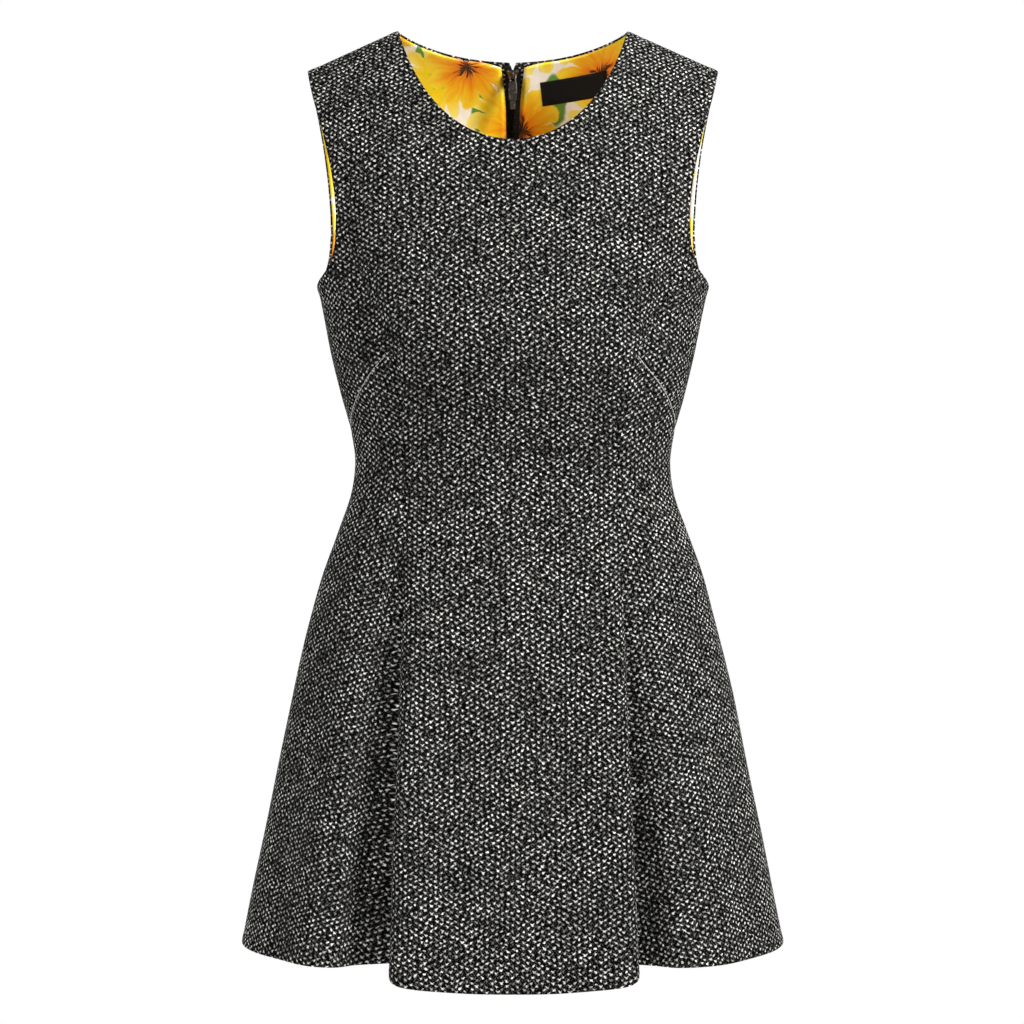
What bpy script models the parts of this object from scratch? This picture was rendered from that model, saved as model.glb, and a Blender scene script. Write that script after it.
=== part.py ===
"""Sleeveless fit-and-flare mini dress in tweed, in its worn, hollow form.

Metres, +Z up, +X to the right as the front is seen, the front facing -Y.
The origin lies between the shoulders, at the middle height of the shoulder seams.
"Left" and "right" are the sides of the front view.

The garment follows one body form. A point of it is set by an angle, from 0 at
the centre front or centre back to a quarter turn at the side seam, and by a
height. Every panel is a grid of such points between its own seams, moved by the
folds of the skirt, and given the thickness of its cloth towards the inside.
"""

import math
from collections import namedtuple

import bmesh
import bpy
import numpy as np
from mathutils import Matrix, Vector
from mathutils.bvhtree import BVHTree

MM = 0.001

# Cloth and assembly, in millimetres
TWEED_WALL = 2.4
LINING_WALL = 1.0
TAPE_WALL = 0.8
LABEL_WALL = 0.6
GAP = 0.3
EDGE_TURN = 1.5
WELD = 0.00002

LEFT = -1
RIGHT = 1
FRONT = -1
BACK = 1

# The body form, in millimetres: half width and the two depths at each height
Section = namedtuple("Section", "height half_width front back")
SECTIONS = [
    Section(60.0, 246.0, 62.0, 72.0),
    Section(0.0, 236.0, 68.0, 78.0),
    Section(-45.0, 227.0, 77.0, 86.0),
    Section(-90.0, 214.0, 88.0, 93.0),
    Section(-136.0, 200.0, 99.0, 98.0),
    Section(-175.0, 184.5, 110.0, 100.0),
    Section(-212.0, 175.0, 119.0, 100.0),
    Section(-240.0, 168.6, 124.0, 98.0),
    Section(-272.0, 162.2, 125.0, 95.0),
    Section(-310.0, 153.0, 113.0, 89.0),
    Section(-345.0, 144.0, 99.0, 84.0),
    Section(-369.0, 141.2, 93.0, 83.0),
    Section(-395.0, 144.0, 93.0, 87.0),
    Section(-430.0, 155.5, 99.0, 98.0),
    Section(-470.0, 170.0, 108.0, 111.0),
    Section(-510.0, 181.0, 116.0, 121.0),
    Section(-570.0, 195.5, 125.0, 130.0),
    Section(-640.0, 210.0, 134.0, 137.0),
    Section(-720.0, 226.0, 143.0, 144.0),
    Section(-801.0, 242.5, 151.0, 151.0),
    Section(-830.0, 248.0, 154.0, 154.0),
]
SQUARENESS = 2.2

# Shoulders: the ridge that the shoulder seams lie on, and how the cloth rounds it
RIDGE_TOP = 43.6
RIDGE_SLOPE = 0.492
RIDGE_ROUND = 70.0
ROLL_HEIGHT = {FRONT: 150.0, BACK: 120.0}
ROLL_POWER = 0.60

# Edges of the bodice, in millimetres
NECK_HALF_WIDTH = 102.5
FRONT_NECK_DEPTH = -91.6
BACK_NECK_DEPTH = -0.7
FRONT_NECK_HANDLES = (60.0, 12.0, 46.0)
BACK_NECK_HANDLES = (50.0, 18.0, 7.0)
SHOULDER_TIP = 184.0
SIDE_DART_HEIGHT = -340.0
DART_BEND = 1.5
DART_FADING = 160.0

# Half widths of the armhole edges from the shoulder tip down to the underarm
ArmholePoint = namedtuple("ArmholePoint", "height front back")
ARMHOLE = [
    ArmholePoint(-45.0, 177.6, 179.6),
    ArmholePoint(-82.0, 166.8, 173.6),
    ArmholePoint(-120.0, 158.3, 169.4),
    ArmholePoint(-158.0, 154.4, 167.4),
    ArmholePoint(-184.0, 157.4, 168.6),
    ArmholePoint(-199.0, 162.2, 171.0),
]
UNDERARM_HEIGHT = -212.0
FRONT_ARMHOLE_BREAK = 5
BACK_ARMHOLE_BREAK = 3

# Seams from the armhole, over the bust or the shoulder blade, to the hem:
# the half width of each at its height
SeamPoint = namedtuple("SeamPoint", "height left right")
BUST_SEAM = [
    SeamPoint(-199.0, 162.2, 162.2),
    SeamPoint(-221.0, 145.5, 142.0),
    SeamPoint(-245.0, 132.3, 127.6),
    SeamPoint(-268.0, 122.3, 116.4),
    SeamPoint(-280.0, 112.5, 109.5),
]
FRONT_SKIRT_SEAM = [
    SeamPoint(-280.0, 112.5, 109.5),
    SeamPoint(-287.0, 103.0, 101.0),
    SeamPoint(-297.0, 97.6, 96.4),
    SeamPoint(-310.0, 95.6, 93.6),
    SeamPoint(-336.0, 95.2, 91.2),
    SeamPoint(-369.0, 95.2, 91.2),
    SeamPoint(-421.0, 95.0, 92.6),
    SeamPoint(-472.0, 96.6, 95.2),
    SeamPoint(-560.0, 103.0, 100.5),
    SeamPoint(-655.0, 107.5, 105.0),
    SeamPoint(-801.0, 111.0, 110.5),
]
BACK_SEAM = [
    SeamPoint(-158.0, 167.4, 167.4),
    SeamPoint(-190.0, 141.0, 141.0),
    SeamPoint(-230.0, 115.0, 115.0),
    SeamPoint(-280.0, 95.0, 95.0),
    SeamPoint(-330.0, 84.5, 84.5),
    SeamPoint(-369.0, 81.5, 81.5),
    SeamPoint(-430.0, 84.0, 84.0),
    SeamPoint(-560.0, 96.0, 96.0),
    SeamPoint(-801.0, 112.0, 112.0),
]

# Hem heights at the centre, at the skirt seam and at the side
Hem = namedtuple("Hem", "centre seam side")
HEM = {FRONT: Hem(-817.0, -799.0, -796.0), BACK: Hem(-806.0, -799.0, -796.0)}

# Folds of the skirt. offset is counted along the cloth from the skirt seam,
# positive towards the side; rise is outwards and lean is towards the side at the hem
Fold = namedtuple("Fold", "face side offset width rise lean start")
FOLDS = [
    Fold(FRONT, LEFT, 4.0, 21.0, -34.0, 0.0, -440.0),
    Fold(FRONT, LEFT, -24.0, 24.0, 13.0, 12.0, -440.0),
    Fold(FRONT, LEFT, 58.0, 34.0, 11.0, 0.0, -470.0),
    Fold(FRONT, RIGHT, 3.0, 17.0, -28.0, 0.0, -430.0),
    Fold(FRONT, RIGHT, -22.0, 22.0, 13.0, 11.0, -430.0),
    Fold(FRONT, RIGHT, 62.0, 38.0, 9.0, 0.0, -480.0),
    Fold(BACK, LEFT, 2.0, 20.0, -25.0, 0.0, -450.0),
    Fold(BACK, LEFT, -30.0, 28.0, 12.0, 6.0, -450.0),
    Fold(BACK, LEFT, 60.0, 36.0, 10.0, 0.0, -480.0),
    Fold(BACK, RIGHT, 4.0, 18.0, -22.0, 0.0, -460.0),
    Fold(BACK, RIGHT, -28.0, 26.0, 10.0, 6.0, -460.0),
    Fold(BACK, RIGHT, 56.0, 34.0, 11.0, 0.0, -470.0),
]
FOLD_HEM = -805.0
FOLD_GROWTH = 1.25
FOLD_CROWDING = 1.6
FOLD_CROWDING_TOP = -380.0
FOLD_CROWDING_BOTTOM = -620.0

# Grid of the panels
CENTRE_COLUMNS = 9
SIDE_COLUMNS = 9
NECK_ROWS = 9
FRONT_YOKE_ROWS = 4
BACK_YOKE_ROWS = 5
BUST_ROWS = 5
SKIRT_ROWS = 19
SHOULDER_CROWDING = 1.5
SKIRT_CROWDING = 1.3
LEVEL_ABOVE_NECK = 3
ARMHOLE_EASING = (0.62, 0.34, 0.14)
LINING_ROWS = 7

# Zip at the centre back, in millimetres
TAPE_TOP = -2.2
TAPE_END = -478.0
TAPE_HALF_WIDTH_TOP = 7.4
TAPE_HALF_WIDTH = 5.4
TAPE_NARROWS_BY = -80.0
TAPE_MIDDLE = 0.2
CHAIN_HALF_WIDTH = 2.1
CHAIN_HEIGHT = 2.0
SLIDER_MIDDLE = -8.8
SLIDER_LENGTH = 7.4
SLIDER_HEAD_HALF_WIDTH = 5.4
SLIDER_FOOT_HALF_WIDTH = 3.9
SLIDER_HEIGHT = 3.6
SLIDER_ROUND = 0.5
BAIL_WIRE_RADIUS = 0.45
BAIL_INNER_HEIGHT = 2.6
BAIL_HALF_LENGTH = 2.9
TAB_THICKNESS = 1.4
TAB_CROSSBAR = 1.1
TAB_WINDOW_HALF_WIDTH = 1.9
TAB_WINDOW_LENGTH = 5.4
TAB_HEAD_HALF_WIDTH = 3.0
TAB_HEAD_LENGTH = 8.0
TAB_HALF_WIDTH = 3.7
TAB_BODY_LENGTH = 15.0
TAB_FOOT_HALF_WIDTH = 2.5
TAB_FOOT_LENGTH = 8.5

# Label inside the back neck, in millimetres
LABEL_START = 25.0
LABEL_LENGTH = 61.0
LABEL_HEIGHT = 20.5
LABEL_TOP = -18.5
LABEL_TILT = 7.2
LABEL_COLUMNS = 6
LABEL_ROWS = 2

Finish = namedtuple("Finish", "colour roughness metallic")
FINISHES = {
    "tweed": Finish((0.055, 0.055, 0.055), 0.92, 0.0),
    "lining": Finish((0.93, 0.55, 0.06), 0.45, 0.0),
    "tape": Finish((0.010, 0.010, 0.011), 0.80, 0.0),
    "gunmetal": Finish((0.12, 0.12, 0.13), 0.35, 1.0),
    "label": Finish((0.008, 0.008, 0.008), 0.55, 0.0),
}


def make_material(name, finish):
    """A piece's own Principled material, with the values of its finish."""
    look = FINISHES[finish]
    material = bpy.data.materials.new(name)
    material.use_nodes = True
    shader = material.node_tree.nodes["Principled BSDF"]
    shader.inputs["Base Color"].default_value = (*look.colour, 1.0)
    shader.inputs["Roughness"].default_value = look.roughness
    shader.inputs["Metallic"].default_value = look.metallic
    return material


# ---------------------------------------------------------------- curves


def smooth_column(rows, column, height):
    """A table's column at any height, as a smooth curve through its rows."""
    table = sorted(rows, key=lambda row: row.height)
    knots = np.array([row.height for row in table])
    values = np.array([getattr(row, column) for row in table])
    slopes = np.gradient(values, knots)
    height = np.clip(height, knots[0], knots[-1])
    index = np.clip(np.searchsorted(knots, height, side="right") - 1, 0, len(knots) - 2)
    step = knots[index + 1] - knots[index]
    t = (height - knots[index]) / step
    rise = values[index + 1] - values[index]
    start = slopes[index] * step
    end = slopes[index + 1] * step
    return values[index] + t * (start + t * (3 * rise - 2 * start - end + t * (start + end - 2 * rise)))


def bezier(handles, t):
    """A cubic curve through the first and last of four handles."""
    weights = np.stack([(1 - t) ** 3, 3 * t * (1 - t) ** 2, 3 * t**2 * (1 - t), t**3], axis=-1)
    return weights @ np.array(handles, dtype=float)


def along(points, fractions):
    """Points at given fractions of the length of a smooth curve through points."""
    points = np.array(points, dtype=float)
    steps = np.sqrt(np.linalg.norm(np.diff(points, axis=0), axis=1))
    knots = np.concatenate([[0.0], np.cumsum(steps)])
    slopes = np.gradient(points, knots, axis=0)
    fine = np.linspace(0.0, knots[-1], 400)
    index = np.clip(np.searchsorted(knots, fine, side="right") - 1, 0, len(knots) - 2)
    step = (knots[index + 1] - knots[index])[:, None]
    t = (fine[:, None] - knots[index][:, None]) / step
    rise = points[index + 1] - points[index]
    start = slopes[index] * step
    end = slopes[index + 1] * step
    curve = points[index] + t * (start + t * (3 * rise - 2 * start - end + t * (start + end - 2 * rise)))
    lengths = np.concatenate([[0.0], np.cumsum(np.linalg.norm(np.diff(curve, axis=0), axis=1))])
    targets = np.asarray(fractions) * lengths[-1]
    return np.stack([np.interp(targets, lengths, curve[:, axis]) for axis in range(2)], axis=-1)


# ---------------------------------------------------------------- body form


def ridge_height(x):
    """Height of the shoulder ridge above the plan point x."""
    return RIDGE_TOP - RIDGE_SLOPE * (np.hypot(x, RIDGE_ROUND) - RIDGE_ROUND)


def angle_of(x, height):
    """Angle of the form's point at half width x and a height."""
    share = np.clip(x / smooth_column(SECTIONS, "half_width", height), 0.0, 1.0)
    return np.arcsin(share ** (SQUARENESS / 2))


def plain_form(angle, height, face):
    """Half width and signed depth of the form before the skirt's folds."""
    power = 2 / SQUARENESS
    depth = smooth_column(SECTIONS, "front" if face == FRONT else "back", height)
    x = smooth_column(SECTIONS, "half_width", height) * np.sin(angle) ** power
    drop = np.clip((ridge_height(x) - height) / ROLL_HEIGHT[face], 0.0, 1.0)
    roll = (1 - (1 - drop) ** 2) ** ROLL_POWER
    return x, face * depth * np.clip(np.cos(angle), 0.0, 1.0) ** power * roll


def seam_table(face, side):
    """The skirt seam's rows on one face, and the column of one side."""
    rows = FRONT_SKIRT_SEAM if face == FRONT else BACK_SEAM
    return rows, "left" if side == LEFT else "right"


def form(angle, height, face, side):
    """Points in metres of the garment's outer surface, with the skirt's folds."""
    x, y = plain_form(angle, height, face)
    rows, column = seam_table(face, side)
    seam_x = smooth_column(rows, column, np.minimum(height, rows[0].height))
    seam_angle = angle_of(seam_x, height)
    seam_x, seam_y = plain_form(seam_angle, height, face)
    reach = np.hypot(x - seam_x, y - seam_y) * np.sign(angle - seam_angle)
    outward = np.stack([np.sin(angle) ** 1.1 + 1e-9, face * np.cos(angle) ** 1.1], axis=-1)
    outward /= np.linalg.norm(outward, axis=-1, keepdims=True)
    sideways = np.stack([outward[..., 1] * face, -outward[..., 0] * face], axis=-1)
    rise = np.zeros_like(reach)
    lean = np.zeros_like(reach)
    for fold in FOLDS:
        if fold.face == face and fold.side == side:
            share = np.clip((fold.start - height) / (fold.start - FOLD_HEM), 0.0, 1.0)
            growth = (share * share * (3 - 2 * share)) ** (FOLD_GROWTH / 2)
            width = fold.width * (0.45 + 0.55 * growth)
            bump = growth * np.exp(-(((reach - fold.offset * (0.3 + 0.7 * growth)) / width) ** 2))
            rise = rise + fold.rise * bump
            lean = lean + fold.lean * bump
    plan = np.stack([x, y], axis=-1) + outward * rise[..., None] + sideways * lean[..., None]
    return np.stack([side * plan[..., 0], plan[..., 1], height + 0 * x], axis=-1) * MM


def normals_of(angle, height, face, side):
    """Outward unit normals of the form at the given angles and heights."""
    turn = 0.004
    rise = 0.6
    low_angle = np.clip(angle - turn, 0.0005, None)
    high_angle = np.clip(angle + turn, None, math.pi / 2 - 0.0005)
    around = form(high_angle, height, face, side) - form(low_angle, height, face, side)
    upward = form(angle, height, face, side) - form(angle, height - rise, face, side)
    normal = np.cross(around, upward) * (-side * face)
    return normal / np.linalg.norm(normal, axis=-1, keepdims=True)


# ---------------------------------------------------------------- meshes


class Patch:
    """A grid of surface points with normals, rows running from top to bottom."""

    def __init__(self, points, normals):
        self.points = points
        self.normals = normals

    def part(self, rows, columns=slice(None)):
        """The same patch, cut down to some of its rows and columns."""
        return Patch(self.points[rows, columns].copy(), self.normals[rows, columns].copy())

    def inset(self, first_row=0.0, last_row=0.0, first_column=0.0, last_column=0.0):
        """The patch with its edges drawn in along its facets, by millimetres square to the edge."""
        points = self.points.copy()
        normals = self.normals.copy()
        rows = ((0, 1, first_row), (-1, -2, last_row))
        columns = ((0, 1, first_column), (-1, -2, last_column))
        places = [(np.s_[edge], np.s_[inner], amount) for edge, inner, amount in rows]
        places += [(np.s_[:, edge], np.s_[:, inner], amount) for edge, inner, amount in columns]
        for edge, inner, amount in places:
            step = self.points[inner] - self.points[edge]
            way = self.edge_way(self.points[edge], self.points[inner], self.normals[edge])
            share = np.reshape(amount, (-1, 1)) * MM / np.sum(step * way, axis=-1, keepdims=True)
            points[edge] += step * share
            normals[edge] += (self.normals[inner] - self.normals[edge]) * share
        return Patch(points, normals)

    @staticmethod
    def edge_way(edge, inner, normals):
        """Unit steps from an edge into the patch, square to the edge and along the surface."""
        tangent = np.gradient(edge, axis=0)
        way = np.cross(normals, tangent)
        way *= np.sign(np.sum(way * (inner - edge), axis=-1, keepdims=True))
        return way / np.linalg.norm(way, axis=-1, keepdims=True)

    def turns_inward(self):
        """Whether faces wound down its rows and then along them would face inwards."""
        down = self.points[1:, :-1] - self.points[:-1, :-1]
        along_row = self.points[:-1, 1:] - self.points[:-1, :-1]
        return float(np.sum(np.cross(down, along_row) * self.normals[:-1, :-1])) < 0.0

    def sunk(self, depth):
        """The patch moved towards the inside of the garment, by millimetres."""
        return Patch(self.points - self.normals * depth * MM, self.normals)


def split(quad, points):
    """A quad's two triangles, cut along its shorter diagonal."""
    a, b, c, d = quad
    if np.linalg.norm(points[a] - points[c]) <= np.linalg.norm(points[b] - points[d]):
        return [(a, b, c), (a, c, d)]
    return [(a, b, d), (b, c, d)]


def shell(name, patches, wall, finish, collection):
    """A closed wall from patches that share edges; the wall grows inwards.

    It follows the form's normals, which neighbours share, so the inner edges of two
    panels meet at their seam. Offsetting each panel by its own edge faces would cross them.
    """
    points = []
    normals = []
    quads = []
    numbers = {}
    for patch in patches:
        rows, columns = patch.points.shape[:2]
        index = np.zeros((rows, columns), dtype=int)
        for row, column in np.ndindex(rows, columns):
            key = tuple(np.round(patch.points[row, column] / WELD).astype(int))
            if key not in numbers:
                numbers[key] = len(points)
                points.append(patch.points[row, column])
                normals.append(patch.normals[row, column])
            index[row, column] = numbers[key]
        corners = np.stack([index[:-1, :-1], index[1:, :-1], index[1:, 1:], index[:-1, 1:]], axis=-1)
        if patch.turns_inward():
            corners = corners[..., ::-1]
        quads += [tuple(quad) for quad in corners.reshape(-1, 4).tolist()]
    outer = np.array(points)
    facing = np.array(normals)
    count = len(outer)
    vertices = np.concatenate([outer, outer - facing * wall * MM])
    triangles = [triangle for quad in quads for triangle in split(quad, outer)]
    faces = triangles + [tuple(number + count for number in reversed(triangle)) for triangle in triangles]
    edges = {(quad[i], quad[(i + 1) % 4]) for quad in quads for i in range(4)}
    for start, end in sorted(edges):
        if (end, start) not in edges:
            high, low = (start, end) if outer[start][2] > outer[end][2] else (end, start)
            faces.append((end, start, low + count))
            faces.append((high, start + count, end + count))
    mesh = bpy.data.meshes.new(name)
    mesh.from_pydata(vertices.tolist(), [], faces)
    mesh.validate()
    mesh.materials.append(make_material(name, finish))
    mesh.shade_smooth()
    mesh.set_sharp_from_angle(angle=math.radians(50))
    item = bpy.data.objects.new(name, mesh)
    collection.objects.link(item)
    return item


# ---------------------------------------------------------------- panels


def bezier_neck(face, fractions):
    """The neckline from the neck point to the centre, as half width and height."""
    depth = FRONT_NECK_DEPTH if face == FRONT else BACK_NECK_DEPTH
    reach, side_in, side_down = FRONT_NECK_HANDLES if face == FRONT else BACK_NECK_HANDLES
    top = float(ridge_height(NECK_HALF_WIDTH))
    handles = [
        (NECK_HALF_WIDTH, top),
        (NECK_HALF_WIDTH - side_in, top - side_down),
        (reach, depth),
        (0.0, depth),
    ]
    return bezier(handles, fractions)


def armhole_curve(face):
    """Rows of the armhole edge from the shoulder tip to the underarm."""
    column = "front" if face == FRONT else "back"
    tip = (SHOULDER_TIP, float(ridge_height(SHOULDER_TIP)))
    underarm = (float(smooth_column(SECTIONS, "half_width", UNDERARM_HEIGHT)), UNDERARM_HEIGHT)
    return [tip] + [(getattr(row, column), row.height) for row in ARMHOLE] + [underarm]


def armhole_part(face, first, last, fractions):
    """Points between two rows of the armhole edge."""
    curve = armhole_curve(face)
    share = []
    full = along(curve, np.linspace(0.0, 1.0, 801))
    for x, z in (curve[first], curve[last]):
        share.append(np.argmin(np.hypot(full[:, 0] - x, full[:, 1] - z)) / 800.0)
    return along(curve, share[0] + (share[1] - share[0]) * np.asarray(fractions))


def heights_between(top, bottom, count, crowd=1.0):
    """Heights of count steps from top to bottom, closer at the top when crowd is over 1."""
    return top + (bottom - top) * np.linspace(0.0, 1.0, count + 1) ** crowd


def seam_points(rows, side, heights):
    """Half widths and heights along a seam on one side."""
    column = "left" if side == LEFT else "right"
    return np.stack([smooth_column(rows, column, heights), heights], axis=-1)


def centre_points(heights):
    """Points on the centre line at the given heights."""
    return np.stack([np.zeros_like(heights), heights], axis=-1)


def side_points(heights):
    """Points on the side seam at the given heights."""
    return np.stack([smooth_column(SECTIONS, "half_width", heights), heights], axis=-1)


def column_shares(heights, count, seam_last):
    """Shares of the columns in each row, closer to the skirt seam as its folds deepen."""
    deep = np.clip((FOLD_CROWDING_TOP - heights) / (FOLD_CROWDING_TOP - FOLD_CROWDING_BOTTOM), 0.0, 1.0)
    crowd = 1 + (FOLD_CROWDING - 1) * deep[:, None]
    even = np.linspace(0.0, 1.0, count + 1)[None, :]
    return 1 - (1 - even) ** crowd if seam_last else even**crowd


def patch_between(inner, outer, face, side, shares, bend=None, level_start=None):
    """A patch whose rows run from the inner seam's points to the outer seam's.

    shares gives the columns of each row.
    bend gives each row's own course: 1 is straight, more drops early and then runs level.
    level_start is 1 where a row leaves the inner seam level, and 0 where it runs straight.
    """
    inner_angle = angle_of(inner[:, 0], inner[:, 1])[:, None]
    outer_angle = angle_of(outer[:, 0], outer[:, 1])[:, None]
    angle = inner_angle + (outer_angle - inner_angle) * shares
    bend = np.ones((len(inner), 1)) if bend is None else bend[:, None]
    course = 1 - (1 - shares) ** bend
    if level_start is not None:
        course = course + (shares**3 - course) * level_start[:, None]
    height = inner[:, 1:] + (outer[:, 1:] - inner[:, 1:]) * course
    return Patch(form(angle, height, face, side), normals_of(angle, height, face, side))


def on_ridge(patch, face):
    """The patch with its first row laid on the shoulder ridge, its normals square to it."""
    x = patch.points[0, :, 0] / MM
    patch.points[0, :, 1] = face * (GAP / 2) * MM
    patch.points[0, :, 2] = ridge_height(x) * MM
    slope = RIDGE_SLOPE * x / np.hypot(x, RIDGE_ROUND)
    patch.normals[0] = np.stack([slope, 0 * slope, 1 + 0 * slope], axis=-1)
    patch.normals[0] /= np.linalg.norm(patch.normals[0], axis=-1, keepdims=True)
    return patch


def front_levels():
    """Heights of the skirt rows at the centre, the seam and the side of the front."""
    seam = heights_between(BUST_SEAM[-1].height, HEM[FRONT].seam, SKIRT_ROWS, SKIRT_CROWDING)
    share = (seam - seam[0]) / (seam[-1] - seam[0])
    centre = seam + (HEM[FRONT].centre - HEM[FRONT].seam) * share**3
    side = heights_between(SIDE_DART_HEIGHT, HEM[FRONT].side, SKIRT_ROWS, SKIRT_CROWDING)
    return centre, seam, side


def front_centre_patch(side):
    """One half of the front centre panel, from the shoulder seam to the hem."""
    neck_share = np.linspace(0.0, 1.0, NECK_ROWS + 1) ** SHOULDER_CROWDING
    yoke_share = np.linspace(0.0, 1.0, FRONT_YOKE_ROWS + 1)[1:]
    bust_heights = heights_between(BUST_SEAM[0].height, BUST_SEAM[-1].height, BUST_ROWS)[1:]
    centre, seam, _ = front_levels()
    inner = np.concatenate([
        bezier_neck(FRONT, neck_share),
        centre_points(FRONT_NECK_DEPTH + (BUST_SEAM[0].height - FRONT_NECK_DEPTH) * yoke_share),
        centre_points(bust_heights),
        centre_points(centre[1:]),
    ])
    level = LEVEL_ABOVE_NECK
    outer = np.concatenate([
        armhole_part(FRONT, 0, level, neck_share),
        armhole_part(FRONT, level, FRONT_ARMHOLE_BREAK + 1, yoke_share),
        seam_points(BUST_SEAM, side, bust_heights),
        seam_points(FRONT_SKIRT_SEAM, side, seam[1:]),
    ])
    level = np.arange(len(inner)) > NECK_ROWS + FRONT_YOKE_ROWS
    shares = column_shares(outer[:, 1], CENTRE_COLUMNS, True)
    return on_ridge(patch_between(inner, outer, FRONT, side, shares, None, level), FRONT)


def front_underarm_patch(side):
    """The small panel between the armhole, the bust seam, the dart seam and the side."""
    heights = heights_between(BUST_SEAM[0].height, BUST_SEAM[-1].height, BUST_ROWS)
    inner = seam_points(BUST_SEAM, side, heights)
    outer = side_points(heights_between(UNDERARM_HEIGHT, SIDE_DART_HEIGHT, BUST_ROWS))
    shares = column_shares(heights, SIDE_COLUMNS, False)
    patch = patch_between(inner, outer, FRONT, side, shares, np.full(BUST_ROWS + 1, DART_BEND))
    even = np.linspace(0.0, 1.0, SIDE_COLUMNS + 1)
    edge = armhole_part(FRONT, FRONT_ARMHOLE_BREAK + 1, len(ARMHOLE) + 1, even)
    angle = angle_of(edge[:, 0], edge[:, 1])
    patch.points[0] = form(angle, edge[:, 1], FRONT, side)
    patch.normals[0] = normals_of(angle, edge[:, 1], FRONT, side)
    return patch


def front_side_patch(side):
    """The side front panel, from the dart seam down to the hem."""
    _, seam, side_heights = front_levels()
    inner = seam_points(FRONT_SKIRT_SEAM, side, seam)
    outer = side_points(side_heights)
    fading = 1 - np.clip((side_heights[0] - side_heights) / DART_FADING, 0.0, 1.0)
    bend = 1 + (DART_BEND - 1) * fading
    return patch_between(inner, outer, FRONT, side, column_shares(seam, SIDE_COLUMNS, False), bend)


def back_levels():
    """Heights of the rows below the armhole break at the centre, seam and side of the back."""
    _, _, side_low = front_levels()
    side = np.concatenate([heights_between(UNDERARM_HEIGHT, SIDE_DART_HEIGHT, BUST_ROWS), side_low[1:]])
    share = (side - side[0]) / (side[-1] - side[0])
    top = BACK_SEAM[0].height
    return top + (HEM[BACK].centre - top) * share, top + (HEM[BACK].seam - top) * share, side


def back_centre_patch(side):
    """One centre back panel, from the shoulder seam to the hem, open at the zip."""
    neck_share = np.linspace(0.0, 1.0, NECK_ROWS + 1) ** SHOULDER_CROWDING
    yoke_share = np.linspace(0.0, 1.0, BACK_YOKE_ROWS + 1)[1:]
    centre, seam, _ = back_levels()
    inner = np.concatenate([
        bezier_neck(BACK, neck_share),
        centre_points(BACK_NECK_DEPTH + (BACK_SEAM[0].height - BACK_NECK_DEPTH) * yoke_share),
        centre_points(centre[1:]),
    ])
    level = LEVEL_ABOVE_NECK - 1
    outer = np.concatenate([
        armhole_part(BACK, 0, level, neck_share),
        armhole_part(BACK, level, BACK_ARMHOLE_BREAK + 1, yoke_share),
        seam_points(BACK_SEAM, side, seam[1:]),
    ])
    level = np.arange(len(inner)) > NECK_ROWS + BACK_YOKE_ROWS
    shares = column_shares(outer[:, 1], CENTRE_COLUMNS, True)
    return on_ridge(patch_between(inner, outer, BACK, side, shares, None, level), BACK)


def back_side_patch(side):
    """One side back panel, from the armhole to the hem."""
    _, seam, side_heights = back_levels()
    inner = seam_points(BACK_SEAM, side, seam)
    shares = column_shares(seam, SIDE_COLUMNS, False)
    patch = patch_between(inner, side_points(side_heights), BACK, side, shares)
    even = np.linspace(0.0, 1.0, SIDE_COLUMNS + 1)
    edge = armhole_part(BACK, BACK_ARMHOLE_BREAK + 1, len(ARMHOLE) + 1, even)
    angle = angle_of(edge[:, 0], edge[:, 1])
    patch.points[0] = form(angle, edge[:, 1], BACK, side)
    patch.normals[0] = normals_of(angle, edge[:, 1], BACK, side)
    for row, weight in enumerate(ARMHOLE_EASING, 1):
        height = patch.points[row, :, 2] / MM
        drop = edge[:, 1] - height
        level = height + drop - (drop[0] + (drop[-1] - drop[0]) * even)
        height = height + (level - height) * weight
        start = float(angle_of(inner[row, 0], inner[row, 1]))
        row_angle = start + (math.pi / 2 - start) * even
        patch.points[row] = form(row_angle, height, BACK, side)
        patch.normals[row] = normals_of(row_angle, height, BACK, side)
    return patch


def build_panels(collection):
    """The tweed panels of the front and back, each its own piece."""
    half = GAP / 2
    halves = [
        front_centre_patch(side).inset(first_row=0.0, last_column=half)
        for side in (LEFT, RIGHT)
    ]
    shell("front_centre", halves, TWEED_WALL, "tweed", collection)
    for side, word in ((LEFT, "left"), (RIGHT, "right")):
        patch = front_underarm_patch(side).inset(0.0, half, half, half)
        shell(f"front_underarm_{word}", [patch], TWEED_WALL, "tweed", collection)
        patch = front_side_patch(side).inset(half, 0.0, half, half)
        shell(f"front_side_{word}", [patch], TWEED_WALL, "tweed", collection)
        patch = back_centre_patch(side)
        open_edge = np.where(np.arange(len(patch.points)) >= NECK_ROWS, half, 0.0)
        patch = patch.inset(0.0, 0.0, open_edge, half)
        shell(f"back_centre_{word}", [patch], TWEED_WALL, "tweed", collection)
        patch = back_side_patch(side).inset(0.0, 0.0, half, half)
        shell(f"back_side_{word}", [patch], TWEED_WALL, "tweed", collection)


# ---------------------------------------------------------------- lining


def tape_half_width(height):
    """Half width of the zip tape that shows between the lining's edges."""
    share = np.clip(height / TAPE_NARROWS_BY, 0.0, 1.0)
    return TAPE_HALF_WIDTH_TOP + (TAPE_HALF_WIDTH - TAPE_HALF_WIDTH_TOP) * share


def between(patch, start, below, beside, shares):
    """The point and the normal at shares of the steps from a grid point to two next to it."""
    place = []
    for grid in (patch.points, patch.normals):
        down = (grid[below] - grid[start]) * shares[0]
        across = (grid[beside] - grid[start]) * shares[1]
        place.append(grid[start] + down + across)
    return place


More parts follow.
